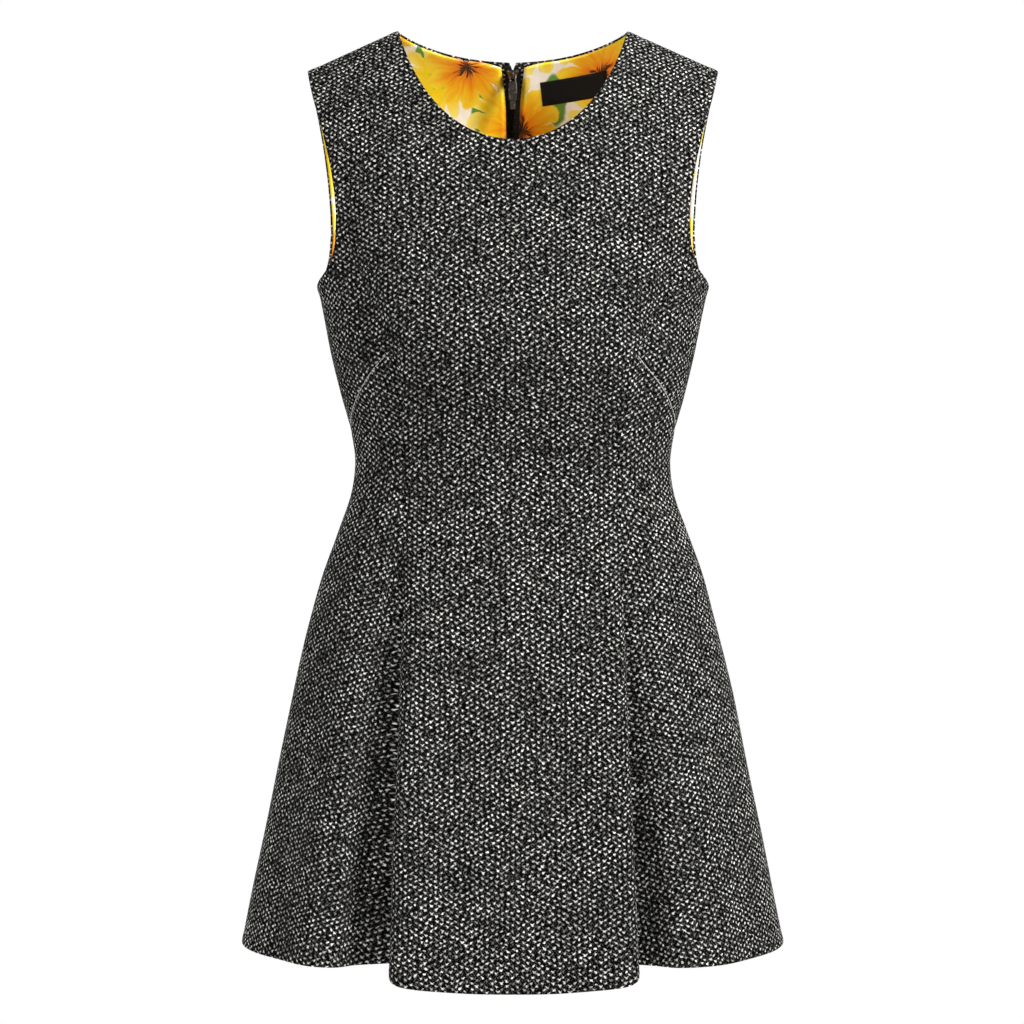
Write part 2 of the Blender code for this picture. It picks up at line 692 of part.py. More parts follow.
def lining_patches(side):
    """The raw patches of one half of the back lining, its free edges drawn in."""
    corner = NECK_ROWS + BACK_YOKE_ROWS
    centre = back_centre_patch(side).part(slice(0, corner + LINING_ROWS + 1))
    flank = back_side_patch(side).part(slice(0, LINING_ROWS + 1))
    rows = np.arange(corner + LINING_ROWS + 1)
    lined = centre.inset(
        first_row=GAP,
        first_column=np.where(rows < NECK_ROWS, EDGE_TURN, 0.0),
        last_column=np.where(rows < corner, EDGE_TURN, 0.0),
    )
    widths = (tape_half_width(centre.points[:, 0, 2] / MM) + GAP) * MM
    reach = widths / np.abs(centre.points[:, 1, 0] - centre.points[:, 0, 0])
    drop = EDGE_TURN * MM / np.linalg.norm(centre.points[NECK_ROWS + 1, 0] - centre.points[NECK_ROWS, 0])
    for row in rows[NECK_ROWS:]:
        shares = (drop if row == NECK_ROWS else 0.0, reach[row])
        place = between(centre, (row, 0), (min(row + 1, rows[-1]), 0), (row, 1), shares)
        lined.points[row, 0], lined.normals[row, 0] = place
    turned = flank.inset(first_row=EDGE_TURN, last_column=GAP / 2)
    drop = EDGE_TURN * MM / np.linalg.norm(flank.points[1, 0] - flank.points[0, 0])
    meeting = between(flank, (0, 0), (1, 0), (0, 1), (drop, 0.0))
    turned.points[0, 0], turned.normals[0, 0] = meeting
    lined.points[corner, -1], lined.normals[corner, -1] = meeting
    return [lined, turned]


def build_lining(collection):
    """The two halves of the back lining, each a wall inside the back panels."""
    halves = {}
    for side, word in ((LEFT, "left"), (RIGHT, "right")):
        patches = [patch.sunk(TWEED_WALL + GAP) for patch in lining_patches(side)]
        halves[side] = shell(f"lining_back_{word}", patches, LINING_WALL, "lining", collection)
    return halves


# ---------------------------------------------------------------- zip


def centre_strip(side, widths, heights):
    """A strip beside the centre back, on the facets of the back panel.

    widths is a function from heights to the strip's half widths, one for each column.
    """
    patch = back_centre_patch(side).part(slice(NECK_ROWS, None), slice(0, 2))
    knots = -patch.points[:, 0, 2]
    rows = np.interp(-heights * MM, knots, np.arange(len(knots)))
    low = np.clip(rows.astype(int), 0, len(knots) - 2)
    share = (rows - low)[:, None, None]
    points = patch.points[low] * (1 - share) + patch.points[low + 1] * share
    normals = patch.normals[low] * (1 - share) + patch.normals[low + 1] * share
    reach = widths(heights) * MM / np.abs(points[:, 1, 0] - points[:, 0, 0])[:, None]
    reach = reach[:, :, None]
    points = points[:, :1] * (1 - reach) + points[:, 1:] * reach
    return Patch(points, normals[:, :1] * (1 - reach) + normals[:, 1:] * reach)


def facet_heights(top, bottom):
    """The heights of the back panel's rows at the centre, between two ends."""
    knots = back_centre_patch(RIGHT).points[NECK_ROWS:, 0, 2] / MM
    inside = knots[(knots < top - 1.0) & (knots > bottom + 1.0)]
    return np.concatenate([[top], inside, [bottom]])


def tape_widths(heights):
    """The tape's inner and outer edges."""
    return np.stack([np.full_like(heights, TAPE_MIDDLE), tape_half_width(heights)], axis=-1)


def chain_widths(heights):
    """The middle of the chain and its edge."""
    return np.stack([np.zeros_like(heights), np.full_like(heights, CHAIN_HALF_WIDTH)], axis=-1)


def build_zip_cloth(collection):
    """The two tapes and the closed chain, on the inside of the centre back."""
    depth = TWEED_WALL + GAP
    for side, word in ((LEFT, "left"), (RIGHT, "right")):
        strip = centre_strip(side, tape_widths, facet_heights(TAPE_TOP, TAPE_END))
        shell(f"zip_tape_{word}", [strip.sunk(depth)], TAPE_WALL, "tape", collection)
    top = SLIDER_MIDDLE - SLIDER_LENGTH / 2 - GAP
    heights = facet_heights(top, TAPE_END + GAP)
    strips = [centre_strip(side, chain_widths, heights) for side in (LEFT, RIGHT)]
    for strip in strips:
        strip.normals[:, 0, 0] = 0.0
    depth += TAPE_WALL + GAP
    shell("zip_chain", [strip.sunk(depth) for strip in strips], CHAIN_HEIGHT, "tape", collection)


def slider_frame():
    """The slider's place: a matrix with X across, Y up along the tape and Z into the dress."""
    heights = SLIDER_MIDDLE + np.array([3.0, 0.0, -3.0])
    strip = centre_strip(RIGHT, chain_widths, heights)
    up = Vector(strip.points[0, 0] - strip.points[2, 0]).normalized()
    inward = Vector((1.0, 0.0, 0.0)).cross(up).normalized()
    depth = TWEED_WALL + GAP + TAPE_WALL + GAP
    seat = Vector(strip.points[1, 0]) + inward * depth * MM
    return Matrix((
        (1.0, up.x, inward.x, seat.x),
        (0.0, up.y, inward.y, seat.y),
        (0.0, up.z, inward.z, seat.z),
        (0.0, 0.0, 0.0, 1.0),
    ))


def slider_body(collection):
    """The slider's plates as one tapered block with rounded edges, wide at its head."""
    mesh = bpy.data.meshes.new("zip_slider")
    work = bmesh.new()
    bmesh.ops.create_cube(work, size=1.0)
    for corner in work.verts:
        width = SLIDER_HEAD_HALF_WIDTH if corner.co.y > 0 else SLIDER_FOOT_HALF_WIDTH
        corner.co.x *= 2 * width * MM
        corner.co.y *= SLIDER_LENGTH * MM
        corner.co.z = (corner.co.z + 0.5) * SLIDER_HEIGHT * MM
    work.to_mesh(mesh)
    work.free()
    mesh.materials.append(make_material("zip_slider", "gunmetal"))
    body = bpy.data.objects.new("zip_slider", mesh)
    collection.objects.link(body)
    bevel = body.modifiers.new("rounded", "BEVEL")
    bevel.width = SLIDER_ROUND * MM
    bevel.segments = 2
    return body


def bail_arch(cutters, material):
    """The slider's bail: a wire arch along the tape, its feet sunk in the block."""
    curve = bpy.data.curves.new("bail", "CURVE")
    curve.dimensions = "3D"
    curve.bevel_depth = BAIL_WIRE_RADIUS * MM
    curve.bevel_resolution = 1
    curve.use_fill_caps = True
    top = SLIDER_HEIGHT + BAIL_INNER_HEIGHT + BAIL_WIRE_RADIUS
    shoulder = 0.9
    route = [
        (-BAIL_HALF_LENGTH, SLIDER_HEIGHT - 1.0),
        (-BAIL_HALF_LENGTH, top - shoulder),
        (-BAIL_HALF_LENGTH + shoulder, top),
        (BAIL_HALF_LENGTH - shoulder, top),
        (BAIL_HALF_LENGTH, top - shoulder),
        (BAIL_HALF_LENGTH, SLIDER_HEIGHT - 1.0),
    ]
    spline = curve.splines.new("POLY")
    spline.points.add(len(route) - 1)
    for point, (along_tape, rise) in zip(spline.points, route):
        point.co = (0.0, along_tape * MM, rise * MM, 1.0)
    draft = bpy.data.objects.new("bail_curve", curve)
    cutters.objects.link(draft)
    mesh = bpy.data.meshes.new_from_object(draft.evaluated_get(bpy.context.evaluated_depsgraph_get()))
    work = bmesh.new()
    work.from_mesh(mesh)
    bmesh.ops.remove_doubles(work, verts=work.verts, dist=0.00001)
    work.to_mesh(mesh)
    work.free()
    bpy.data.objects.remove(draft)
    mesh.materials.clear()
    mesh.materials.append(material)
    arch = bpy.data.objects.new("bail", mesh)
    arch.display_type = "WIRE"
    arch.hide_render = True
    cutters.objects.link(arch)
    return arch


def tab_outline():
    """The pull tab's outline and window, from the crossbar's middle downwards."""
    top = TAB_CROSSBAR / 2
    head = top - TAB_HEAD_LENGTH
    body = head - TAB_BODY_LENGTH
    foot = body - TAB_FOOT_LENGTH
    outer = [
        (TAB_HEAD_HALF_WIDTH - 0.5, top),
        (TAB_HEAD_HALF_WIDTH, top - 0.5),
        (TAB_HEAD_HALF_WIDTH, head + 0.7),
        (TAB_HALF_WIDTH, head),
        (TAB_HALF_WIDTH, body),
        (TAB_FOOT_HALF_WIDTH, body - 0.6),
        (TAB_FOOT_HALF_WIDTH, foot + 0.6),
        (TAB_FOOT_HALF_WIDTH - 0.6, foot),
    ]
    outer += [(-x, y) for x, y in reversed(outer)]
    low = -top - TAB_WINDOW_LENGTH
    window = [
        (TAB_WINDOW_HALF_WIDTH, -top),
        (TAB_WINDOW_HALF_WIDTH, low + 0.8),
        (TAB_WINDOW_HALF_WIDTH - 0.8, low),
    ]
    window += [(-x, y) for x, y in reversed(window)]
    return outer, window


def pull_tab(collection, cutters, axis_point):
    """The pull tab: a flat bar with a window for the bail, hanging from its crossbar."""
    curve = bpy.data.curves.new("tab", "CURVE")
    curve.dimensions = "2D"
    curve.fill_mode = "BOTH"
    curve.extrude = TAB_THICKNESS / 2 * MM
    for outline in tab_outline():
        spline = curve.splines.new("POLY")
        spline.points.add(len(outline) - 1)
        spline.use_cyclic_u = True
        for point, (x, y) in zip(spline.points, outline):
            point.co = (x * MM, y * MM, 0.0, 1.0)
    draft = bpy.data.objects.new("tab_curve", curve)
    cutters.objects.link(draft)
    mesh = bpy.data.meshes.new_from_object(draft.evaluated_get(bpy.context.evaluated_depsgraph_get()))
    work = bmesh.new()
    work.from_mesh(mesh)
    bmesh.ops.remove_doubles(work, verts=work.verts, dist=0.00001)
    bmesh.ops.recalc_face_normals(work, faces=work.faces)
    bmesh.ops.rotate(work, verts=work.verts, matrix=Matrix.Rotation(math.pi / 2, 3, "X"))
    work.to_mesh(mesh)
    work.free()
    bpy.data.objects.remove(draft)
    mesh.materials.clear()
    mesh.materials.append(make_material("zip_pull_tab", "gunmetal"))
    tab = bpy.data.objects.new("zip_pull_tab", mesh)
    tab.location = axis_point
    collection.objects.link(tab)


def build_slider(collection, cutters):
    """The slider with its bail, and the pull tab that hangs from it inside the dress."""
    frame = slider_frame()
    body = slider_body(collection)
    arch = bail_arch(cutters, body.data.materials[0])
    body.matrix_world = frame
    arch.matrix_world = frame
    join = body.modifiers.new("bail", "BOOLEAN")
    join.operation = "UNION"
    join.solver = "EXACT"
    join.object = arch
    axis_point = frame @ Vector((0.0, 0.0, (SLIDER_HEIGHT + BAIL_INNER_HEIGHT / 2) * MM))
    pull_tab(collection, cutters, axis_point)


# ---------------------------------------------------------------- label


def build_label(collection, lining):
    """A blank label on the lining beside the zip, laid on the facets it covers."""
    tree = BVHTree.FromPolygons(
        [lining.matrix_world @ vertex.co for vertex in lining.data.vertices],
        [tuple(face.vertices) for face in lining.data.polygons],
    )
    tilt = math.radians(LABEL_TILT)
    points = np.zeros((LABEL_ROWS + 1, LABEL_COLUMNS + 1, 3))
    normals = np.zeros_like(points)
    for row, column in np.ndindex(LABEL_ROWS + 1, LABEL_COLUMNS + 1):
        reach = LABEL_LENGTH * column / LABEL_COLUMNS
        drop = LABEL_HEIGHT * row / LABEL_ROWS
        x = LABEL_START + reach * math.cos(tilt) + drop * math.sin(tilt)
        z = LABEL_TOP + reach * math.sin(tilt) - drop * math.cos(tilt)
        place, facing, _, _ = tree.ray_cast(Vector((x * MM, 0.0, z * MM)), Vector((0.0, 1.0, 0.0)))
        points[row, column] = place
        normals[row, column] = -facing
    patch = Patch(points, normals).sunk(GAP)
    shell("label", [patch], LABEL_WALL, "label", collection)


# ---------------------------------------------------------------- scene set-up


def clear_scene():
    """Remove whatever the scene holds."""
    for item in list(bpy.data.objects):
        bpy.data.objects.remove(item, do_unlink=True)


def main():
    """Build the dress in its own collection."""
    clear_scene()
    collection = bpy.data.collections.new("fit_and_flare_dress")
    cutters = bpy.data.collections.new("cutters")
    bpy.context.scene.collection.children.link(collection)
    bpy.context.scene.collection.children.link(cutters)
    build_panels(collection)
    lining = build_lining(collection)
    build_zip_cloth(collection)
    build_slider(collection, cutters)
    build_label(collection, lining[RIGHT])


main()
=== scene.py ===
"""Finished look of a sleeveless fit-and-flare mini dress in tweed, worn and hollow.

Sizes are in millimetres and meshes in metres, +Z up, +X to the right of the front view, the
front facing -Y. The origin lies between the shoulders. "Left" and "right" are the sides of the
front view.

Every panel of cloth is a function of two parameters on one body form: an angle, from 0 at the
centre front or centre back to a quarter turn at the side seam, and a height. The cut of each
panel, laid flat, is kept in its UV map, so the weave runs as it does in a sewn gore.
"""

import logging
import math
from collections.abc import Callable
from dataclasses import dataclass, field, replace
from enum import Enum, IntEnum
from functools import partial

import bpy
import numpy as np
from mathutils.geometry import tessellate_polygon
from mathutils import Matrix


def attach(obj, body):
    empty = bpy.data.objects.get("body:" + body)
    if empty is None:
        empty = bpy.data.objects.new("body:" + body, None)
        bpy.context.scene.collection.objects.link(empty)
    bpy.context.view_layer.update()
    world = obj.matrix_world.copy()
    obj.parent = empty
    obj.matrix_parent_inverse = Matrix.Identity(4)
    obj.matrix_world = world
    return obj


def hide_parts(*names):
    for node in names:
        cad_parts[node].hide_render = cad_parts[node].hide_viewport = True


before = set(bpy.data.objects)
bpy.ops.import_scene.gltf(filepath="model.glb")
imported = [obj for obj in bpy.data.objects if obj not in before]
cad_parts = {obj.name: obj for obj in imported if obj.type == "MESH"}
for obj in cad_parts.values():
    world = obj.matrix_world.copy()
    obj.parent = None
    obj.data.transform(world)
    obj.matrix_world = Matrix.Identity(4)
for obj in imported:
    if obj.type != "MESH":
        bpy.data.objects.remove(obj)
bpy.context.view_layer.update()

LOG = logging.getLogger("dress")
MM = 0.001
CUT_MAP = "cut"

Array = np.ndarray
Shape = tuple[Array, list[Array]]
Point = tuple[float, float, float]
Material = bpy.types.Material
Node = bpy.types.Node
Put = Callable[..., Node]

FIRST, LAST, EVERY = slice(0, 1), slice(-1, None), slice(None)


class Side(IntEnum):
    """A side of the front view; the value is the sign of X."""

    LEFT = -1
    RIGHT = 1


class Face(IntEnum):
    """The front or the back of the dress; the value is the sign of Y."""

    FRONT = -1
    BACK = 1


# == numbers


def smooth(knots: Array, values: Array, at: Array) -> Array:
    """A smooth curve through knots, read at any place.

    Each stretch is the cubic that has the values and the slopes of its two knots; a knot's
    slope is the mean slope of the stretches beside it.

    Args:
        knots: rising places of the values.
        values: one row for each knot.
        at: the places to read, held between the first and the last knot.

    Returns:
        The values there.
    """
    slopes = np.gradient(values, knots, axis=0)
    at = np.clip(at, knots[0], knots[-1])
    low = np.clip(np.searchsorted(knots, at, side="right") - 1, 0, len(knots) - 2)
    step = knots[low + 1] - knots[low]
    t = (at - knots[low]) / step
    if values.ndim > 1:
        shape = t.shape + (1,) * (values.ndim - 1)
        t, step = t.reshape(shape), step.reshape(shape)
    rise = values[low + 1] - values[low]
    start, end = slopes[low] * step, slopes[low + 1] * step
    return values[low] + t * (start + t * (3 * rise - 2 * start - end + t * (start + end - 2 * rise)))


def along(points: Array, shares: Array) -> Array:
    """Places at shares of the length of a smooth plane curve through a few points."""
    steps = np.sqrt(np.linalg.norm(np.diff(points, axis=0), axis=1))
    knots = np.concatenate([[0.0], np.cumsum(steps)])
    curve = smooth(knots, points, np.linspace(0.0, knots[-1], 800))
    lengths = np.concatenate([[0.0], np.cumsum(np.linalg.norm(np.diff(curve, axis=0), axis=1))])
    return smooth(lengths, curve, np.asarray(shares) * lengths[-1])


def bump_of(distance: Array) -> Array:
    """A soft bump, 1 at distance 0: the bell curve exp(-d squared)."""
    return np.exp(-(distance**2))


def ease(share: Array) -> Array:
    """A share from 0 to 1 that starts and ends level: 3t squared less 2t cubed."""
    share = np.clip(share, 0.0, 1.0)
    return share * share * (3 - 2 * share)


def unit(vectors: Array) -> Array:
    """Vectors at length 1."""
    return vectors / np.maximum(np.linalg.norm(vectors, axis=-1, keepdims=True), 1e-12)


def distance_to_path(points: Array, path: Array) -> Array:
    """Shortest distance from each point to the straight stretches of a path.

    Args:
        points: places, any leading shape, three numbers each.
        path: the path's corners.

    Returns:
        A distance for each point.
    """
    start, way = path[:-1], np.diff(path, axis=0)
    size = np.maximum(np.sum(way * way, axis=1), 1e-18)
    flat = points.reshape(-1, 3)
    found = [
        np.sqrt(np.min(np.sum((block[:, None] - start - way * np.clip(
            np.sum((block[:, None] - start) * way, axis=2) / size, 0.0, 1.0)[..., None]) ** 2, axis=2), axis=1))
        for block in np.array_split(flat, max(1, len(flat) // 1500))
    ]
    return np.concatenate(found).reshape(points.shape[:-1])


# == the body form


@dataclass(frozen=True)
class Section:
    """The form at one height: half width, and depth in front and behind."""

    height: float
    half_width: float
    front: float
    back: float


@dataclass(frozen=True)
class SeamPoint:
    """Half widths of a seam at one height, on the two sides."""

    height: float
    left: float
    right: float


@dataclass(frozen=True)
class SkirtFold:
    """One fold of the skirt.

    offset is counted along the cloth from the skirt seam, positive towards the side; rise is
    outwards and lean towards the side at the hem, and start is the height where it begins.
    """

    offset: float
    width: float
    rise: float
    lean: float
    start: float


@dataclass(frozen=True)
class Crease:
    """A soft trough or ridge, straight in the front view, that fades at both ends."""

    start: tuple[float, float]
    end: tuple[float, float]
    width: float
    rise: float


@dataclass(frozen=True)
class Hem:
    """Heights of a hem at the centre, at the skirt seam and at the side."""

    centre: float
    seam: float
    side: float


SECTIONS = tuple(Section(*row) for row in (
    (60, 246, 62, 72), (0, 236, 68, 78), (-45, 227, 77, 86), (-90, 214, 88, 93),
    (-136, 200, 99, 98), (-175, 184.5, 110, 100), (-212, 175, 119, 100), (-240, 168.6, 124, 98),
    (-272, 162.2, 125, 95), (-310, 153, 113, 89), (-345, 144, 99, 84), (-369, 141.2, 93, 83),
    (-395, 144, 93, 87), (-430, 155.5, 99, 98), (-470, 170, 108, 111), (-510, 181, 116, 121),
    (-570, 195.5, 125, 130), (-640, 210, 134, 137), (-720, 226, 143, 144), (-801, 242.5, 151, 151),
    (-830, 248, 154, 154),
))

BUST_SEAM = tuple(SeamPoint(*row) for row in (
    (-199, 162.2, 162.2), (-221, 145.5, 142), (-245, 132.3, 127.6), (-268, 122.3, 116.4),
    (-280, 112.5, 109.5),
))

FRONT_SKIRT_SEAM = tuple(SeamPoint(*row) for row in (
    (-280, 112.5, 109.5), (-287, 103, 101), (-297, 97.6, 96.4), (-310, 95.6, 93.6),
    (-336, 95.2, 91.2), (-369, 95.2, 91.2), (-421, 95, 92.6), (-472, 96.6, 95.2),
    (-560, 103, 100.5), (-655, 107.5, 105), (-801, 111, 110.5),
))

BACK_SEAM = tuple(SeamPoint(height, width, width) for height, width in (
    (-158, 167.4), (-190, 141), (-230, 115), (-280, 95), (-330, 84.5), (-369, 81.5), (-430, 84),
    (-560, 96), (-801, 112),
))

SKIRT_SEAMS = {Face.FRONT: FRONT_SKIRT_SEAM, Face.BACK: BACK_SEAM}

# Heights and half widths of the armholes' edges
ARMHOLES = {
    Face.FRONT: ((-45, 177.6), (-82, 166.8), (-120, 158.3), (-158, 154.4), (-184, 157.4), (-199, 162.2)),
    Face.BACK: ((-45, 179.6), (-82, 173.6), (-120, 169.4), (-158, 167.4), (-184, 168.6), (-199, 171)),
}

SKIRT_FOLDS = {key: [SkirtFold(*row) for row in rows] for key, rows in {
    (Face.FRONT, Side.LEFT): ((4, 21, -34, 0, -440), (-24, 24, 13, 12, -440), (58, 34, 11, 0, -470)),
    (Face.FRONT, Side.RIGHT): ((3, 17, -28, 0, -430), (-22, 22, 13, 11, -430), (62, 38, 9, 0, -480)),
    (Face.BACK, Side.LEFT): ((2, 20, -25, 0, -450), (-30, 28, 12, 6, -450), (60, 36, 10, 0, -480)),
    (Face.BACK, Side.RIGHT): ((4, 18, -22, 0, -460), (-28, 26, 10, 6, -460), (56, 34, 11, 0, -470)),
}.items()}

# Drag lines from the underarm and the bust point, the slack of the waist and the skirt's troughs
CREASES = {face: [Crease(*row) for row in rows] for face, rows in {
    Face.FRONT: (
        ((-152, -170), (-92, -322), 13, -7), ((-172, -214), (-126, -262), 8, -1.6),
        ((146, -172), (108, -318), 12, -6.4), ((170, -212), (136, -272), 8, -1.3),
        ((-150, -160), (-128, -262), 11, -1), ((150, -170), (124, -256), 10, -0.9),
        ((-118, -300), (-88, -372), 12, 0.9), ((116, -296), (90, -366), 11, 0.8),
        ((40, -322), (58, -350), 3.2, -0.9), ((-138, -352), (-104, -398), 9, -1.1),
        ((136, -356), (104, -392), 8, -0.9), ((-30, -360), (34, -366), 13, -0.5),
        ((-150, -60), (-112, -96), 14, -0.6), ((152, -52), (116, -100), 13, -0.7),
        ((-109, -425), (-150, -1150), 15, -12.5), ((112, -470), (134, -1100), 8, -3),
        ((-46, -520), (-40, -810), 34, -1.8), ((38, -500), (50, -812), 30, -1.4),
        ((-176, -560), (-206, -806), 15, -2.2), ((180, -590), (200, -806), 14, -1.8),
    ),
    Face.BACK: (
        ((-170, -214), (-120, -262), 10, -1.2), ((168, -210), (122, -270), 9, -1.3),
        ((-128, -340), (-34, -352), 10, -1.2), ((132, -348), (40, -338), 11, -1.1),
        ((-122, -372), (-60, -392), 9, -0.9), ((118, -378), (66, -396), 8, -0.8),
        ((-140, -90), (-96, -128), 14, -0.7), ((138, -100), (92, -124), 13, -0.6),
        ((-54, -540), (-60, -806), 24, -1.6), ((50, -520), (62, -804), 22, -1.5),
        ((-180, -570), (-204, -800), 15, -2), ((176, -560), (202, -800), 16, -1.9),
    ),
}.items()}


@dataclass(frozen=True)
class Cloth:
    """Points and outward normals of a stretch of the outer face, rows from top to bottom.

    plan holds each point's place in the cut laid flat, in millimetres.
    """

    points: Array
    normals: Array
    plan: Array

    @property
    def grids(self) -> tuple[Array, Array, Array]:
        """The three grids."""
        return self.points, self.normals, self.plan

    def part(self, rows: slice, columns: slice = slice(None)) -> "Cloth":
        """Some of the rows and columns."""
        return Cloth(*(grid[rows, columns].copy() for grid in self.grids))

    def read(self, rows: Array, columns: Array) -> "Cloth":
        """The stretch on a finer grid, by smooth curves through its rows and its columns.

        Args:
            rows: row numbers with fractions.
            columns: column numbers with fractions.

        Returns:
            The stretch at each pair of them.
        """
        finer = []
        for grid in self.grids:
            down = smooth(np.arange(len(grid), dtype=float), grid, rows)
            across = smooth(np.arange(grid.shape[1], dtype=float), down.swapaxes(0, 1), columns)
            finer.append(across.swapaxes(0, 1))
        finer[1] = unit(finer[1])
        return Cloth(*finer)


@dataclass(frozen=True)
class BodyForm:
    """The general figure that the panels follow, with the skirt's folds and the creases."""

    sections: tuple[Section, ...] = SECTIONS
    squareness: float = 2.2
    ridge_top: float = 43.6
    ridge_slope: float = 0.492
    ridge_round: float = 70.0
    front_roll: float = 150.0
    back_roll: float = 120.0
    roll_power: float = 0.60
    fold_hem: float = -805.0
    fold_growth: float = 1.25
    hand_rise: float = 0.45
    zip_flat: float = 14.0
    mouth_half_width: float = 3.1
    mouth_top: float = -0.7
    mouth_foot: float = -7.5
    mouth_reach: float = 12.0

    def measure(self, name: str, height: Array) -> Array:
        """A column of the sections at any height."""
        table = sorted((row.height, getattr(row, name)) for row in self.sections)
        return smooth(*np.array(table, dtype=float).T, np.asarray(height, dtype=float))

    def ridge(self, x: Array) -> Array:
        """Height of the shoulder ridge: a straight slope, rounded over the neck as a hyperbola."""
        return self.ridge_top - self.ridge_slope * (np.hypot(x, self.ridge_round) - self.ridge_round)

    def angle_at(self, x: Array, height: Array) -> Array:
        """Angle of the point at a half width and a height: the arcsine of its share, squared off."""
        share = np.clip(x / self.measure("half_width", height), 0.0, 1.0)
        return np.arcsin(share ** (self.squareness / 2))

    def plain(self, angle: Array, height: Array, face: Face) -> tuple[Array, Array]:
        """Half width and signed depth: a superellipse at each height, rolled off to the ridge."""
        power = 2 / self.squareness
        depth = self.measure("front" if face is Face.FRONT else "back", height)
        x = self.measure("half_width", height) * np.sin(angle) ** power
        roll_height = self.front_roll if face is Face.FRONT else self.back_roll
        drop = np.clip((self.ridge(x) - height) / roll_height, 0.0, 1.0)
        roll = (1 - (1 - drop) ** 2) ** self.roll_power
        return x, face * depth * np.clip(np.cos(angle), 0.0, 1.0) ** power * roll

    def folded(self, angle: Array, height: Array, face: Face, side: Side) -> Array:
        """Points in millimetres: the plain form, moved outwards and sideways by the folds.

        Each fold is a bell curve of the distance from its crest, which grows from its start to
        the hem as a smooth step raised to a power. Above the zip's slider the centre back opens
        as a narrow V.
        """
        x, y = self.plain(angle, height, face)
        rows = SKIRT_SEAMS[face]
        seam_x = seam_at(rows, side, np.minimum(height, rows[0].height))
        seam_angle = self.angle_at(seam_x, height)
        seam_x, seam_y = self.plain(seam_angle, height, face)
        reach = np.hypot(x - seam_x, y - seam_y) * np.sign(angle - seam_angle)
        outward = unit(np.stack([np.sin(angle) ** 1.1 + 1e-9, face * np.cos(angle) ** 1.1], axis=-1))
        sideways = np.stack([outward[..., 1] * face, -outward[..., 0] * face], axis=-1)
        rise, lean = np.zeros_like(reach), np.zeros_like(reach)
        for fold in SKIRT_FOLDS[face, side]:
            growth = ease((fold.start - height) / (fold.start - self.fold_hem)) ** (self.fold_growth / 2)
            width = fold.width * (0.45 + 0.55 * growth)
            bump = growth * bump_of((reach - fold.offset * (0.3 + 0.7 * growth)) / width)
            rise, lean = rise + fold.rise * bump, lean + fold.lean * bump
        if face is Face.BACK:
            open_share = np.clip((height - self.mouth_foot) / (self.mouth_top - self.mouth_foot), 0.0, 1.0)
            x = x + self.mouth_half_width * open_share * bump_of(x / self.mouth_reach)
        plan = np.stack([x, y], axis=-1) + outward * rise[..., None] + sideways * lean[..., None]
        return np.stack([side * plan[..., 0], plan[..., 1], height + 0 * x], axis=-1)

    def normals(self, angle: Array, height: Array, face: Face, side: Side) -> Array:
        """Outward unit normals, from short steps round the form and down it."""
        turn, rise, stop = 0.004, 0.6, 0.0005
        low = np.clip(angle - turn, stop, None)
        high = np.clip(angle + turn, None, math.pi / 2 - stop)
        around = self.folded(high, height, face, side) - self.folded(low, height, face, side)
        upward = self.folded(angle, height, face, side) - self.folded(angle, height - rise, face, side)
        return unit(np.cross(around, upward) * (-side * face))

    def relief(self, points: Array, face: Face) -> Array:
        """Height in millimetres of the creases and of the cloth's own uneven hand.

        A crease is a bell curve of the distance from its line, which fades with a half sine
        along it. The hand is a sum of slow waves. Both die away at the zip.
        """
        x, z = points[..., 0], points[..., 2]
        rise = np.zeros_like(x)
        for crease in CREASES[face]:
            way = np.subtract(crease.end, crease.start)
            size = np.hypot(*way)
            share = ((x - crease.start[0]) * way[0] + (z - crease.start[1]) * way[1]) / size**2
            aside = ((x - crease.start[0]) * way[1] - (z - crease.start[1]) * way[0]) / size
            fade = np.sin(math.pi * np.clip(share, 0.0, 1.0)) ** 0.7
            rise = rise + crease.rise * fade * bump_of(aside / crease.width)
        hand = np.sin(x / 23.0 + z / 61.0 + face) + np.sin(x / 17.0 - z / 29.0 + 2.0)
        hand = hand + np.sin(x / 41.0 + z / 19.0 + 4.0 * face)
        rise = rise + self.hand_rise * hand / 3
        if face is Face.BACK:
            rise = rise * (1 - bump_of(x / self.zip_flat))
        return rise

    def level_length(self, start: Array, end: Array, height: Array, face: Face, side: Side) -> Array:
        """Length of the cloth between two angles at one height, summed over short steps."""
        share = np.linspace(0.0, 1.0, 25).reshape((-1,) + (1,) * np.ndim(height))
        path = self.folded(start + (end - start) * share, height + 0 * share, face, side)
        return np.sum(np.linalg.norm(np.diff(path, axis=0), axis=-1), axis=0)

    def drop_length(self, x: Array, start: Array, end: Array, face: Face) -> Array:
        """Length of the cloth between two heights at one half width, summed over short steps."""
        share = np.linspace(0.0, 1.0, 33).reshape((-1,) + (1,) * np.ndim(end))
        height = start + (end - start) * share
        _, depth = self.plain(self.angle_at(x + 0 * share, height), height, face)
        return np.sum(np.hypot(np.diff(depth, axis=0), np.diff(height, axis=0)), axis=0)


FORM = BodyForm()


def seam_at(rows: tuple[SeamPoint, ...], side: Side, height: Array) -> Array:
    """Half width of a seam at any height on one side."""
    table = sorted((row.height, row.left if side is Side.LEFT else row.right) for row in rows)
    return smooth(*np.array(table, dtype=float).T, np.asarray(height, dtype=float))


# == the cut of the panels


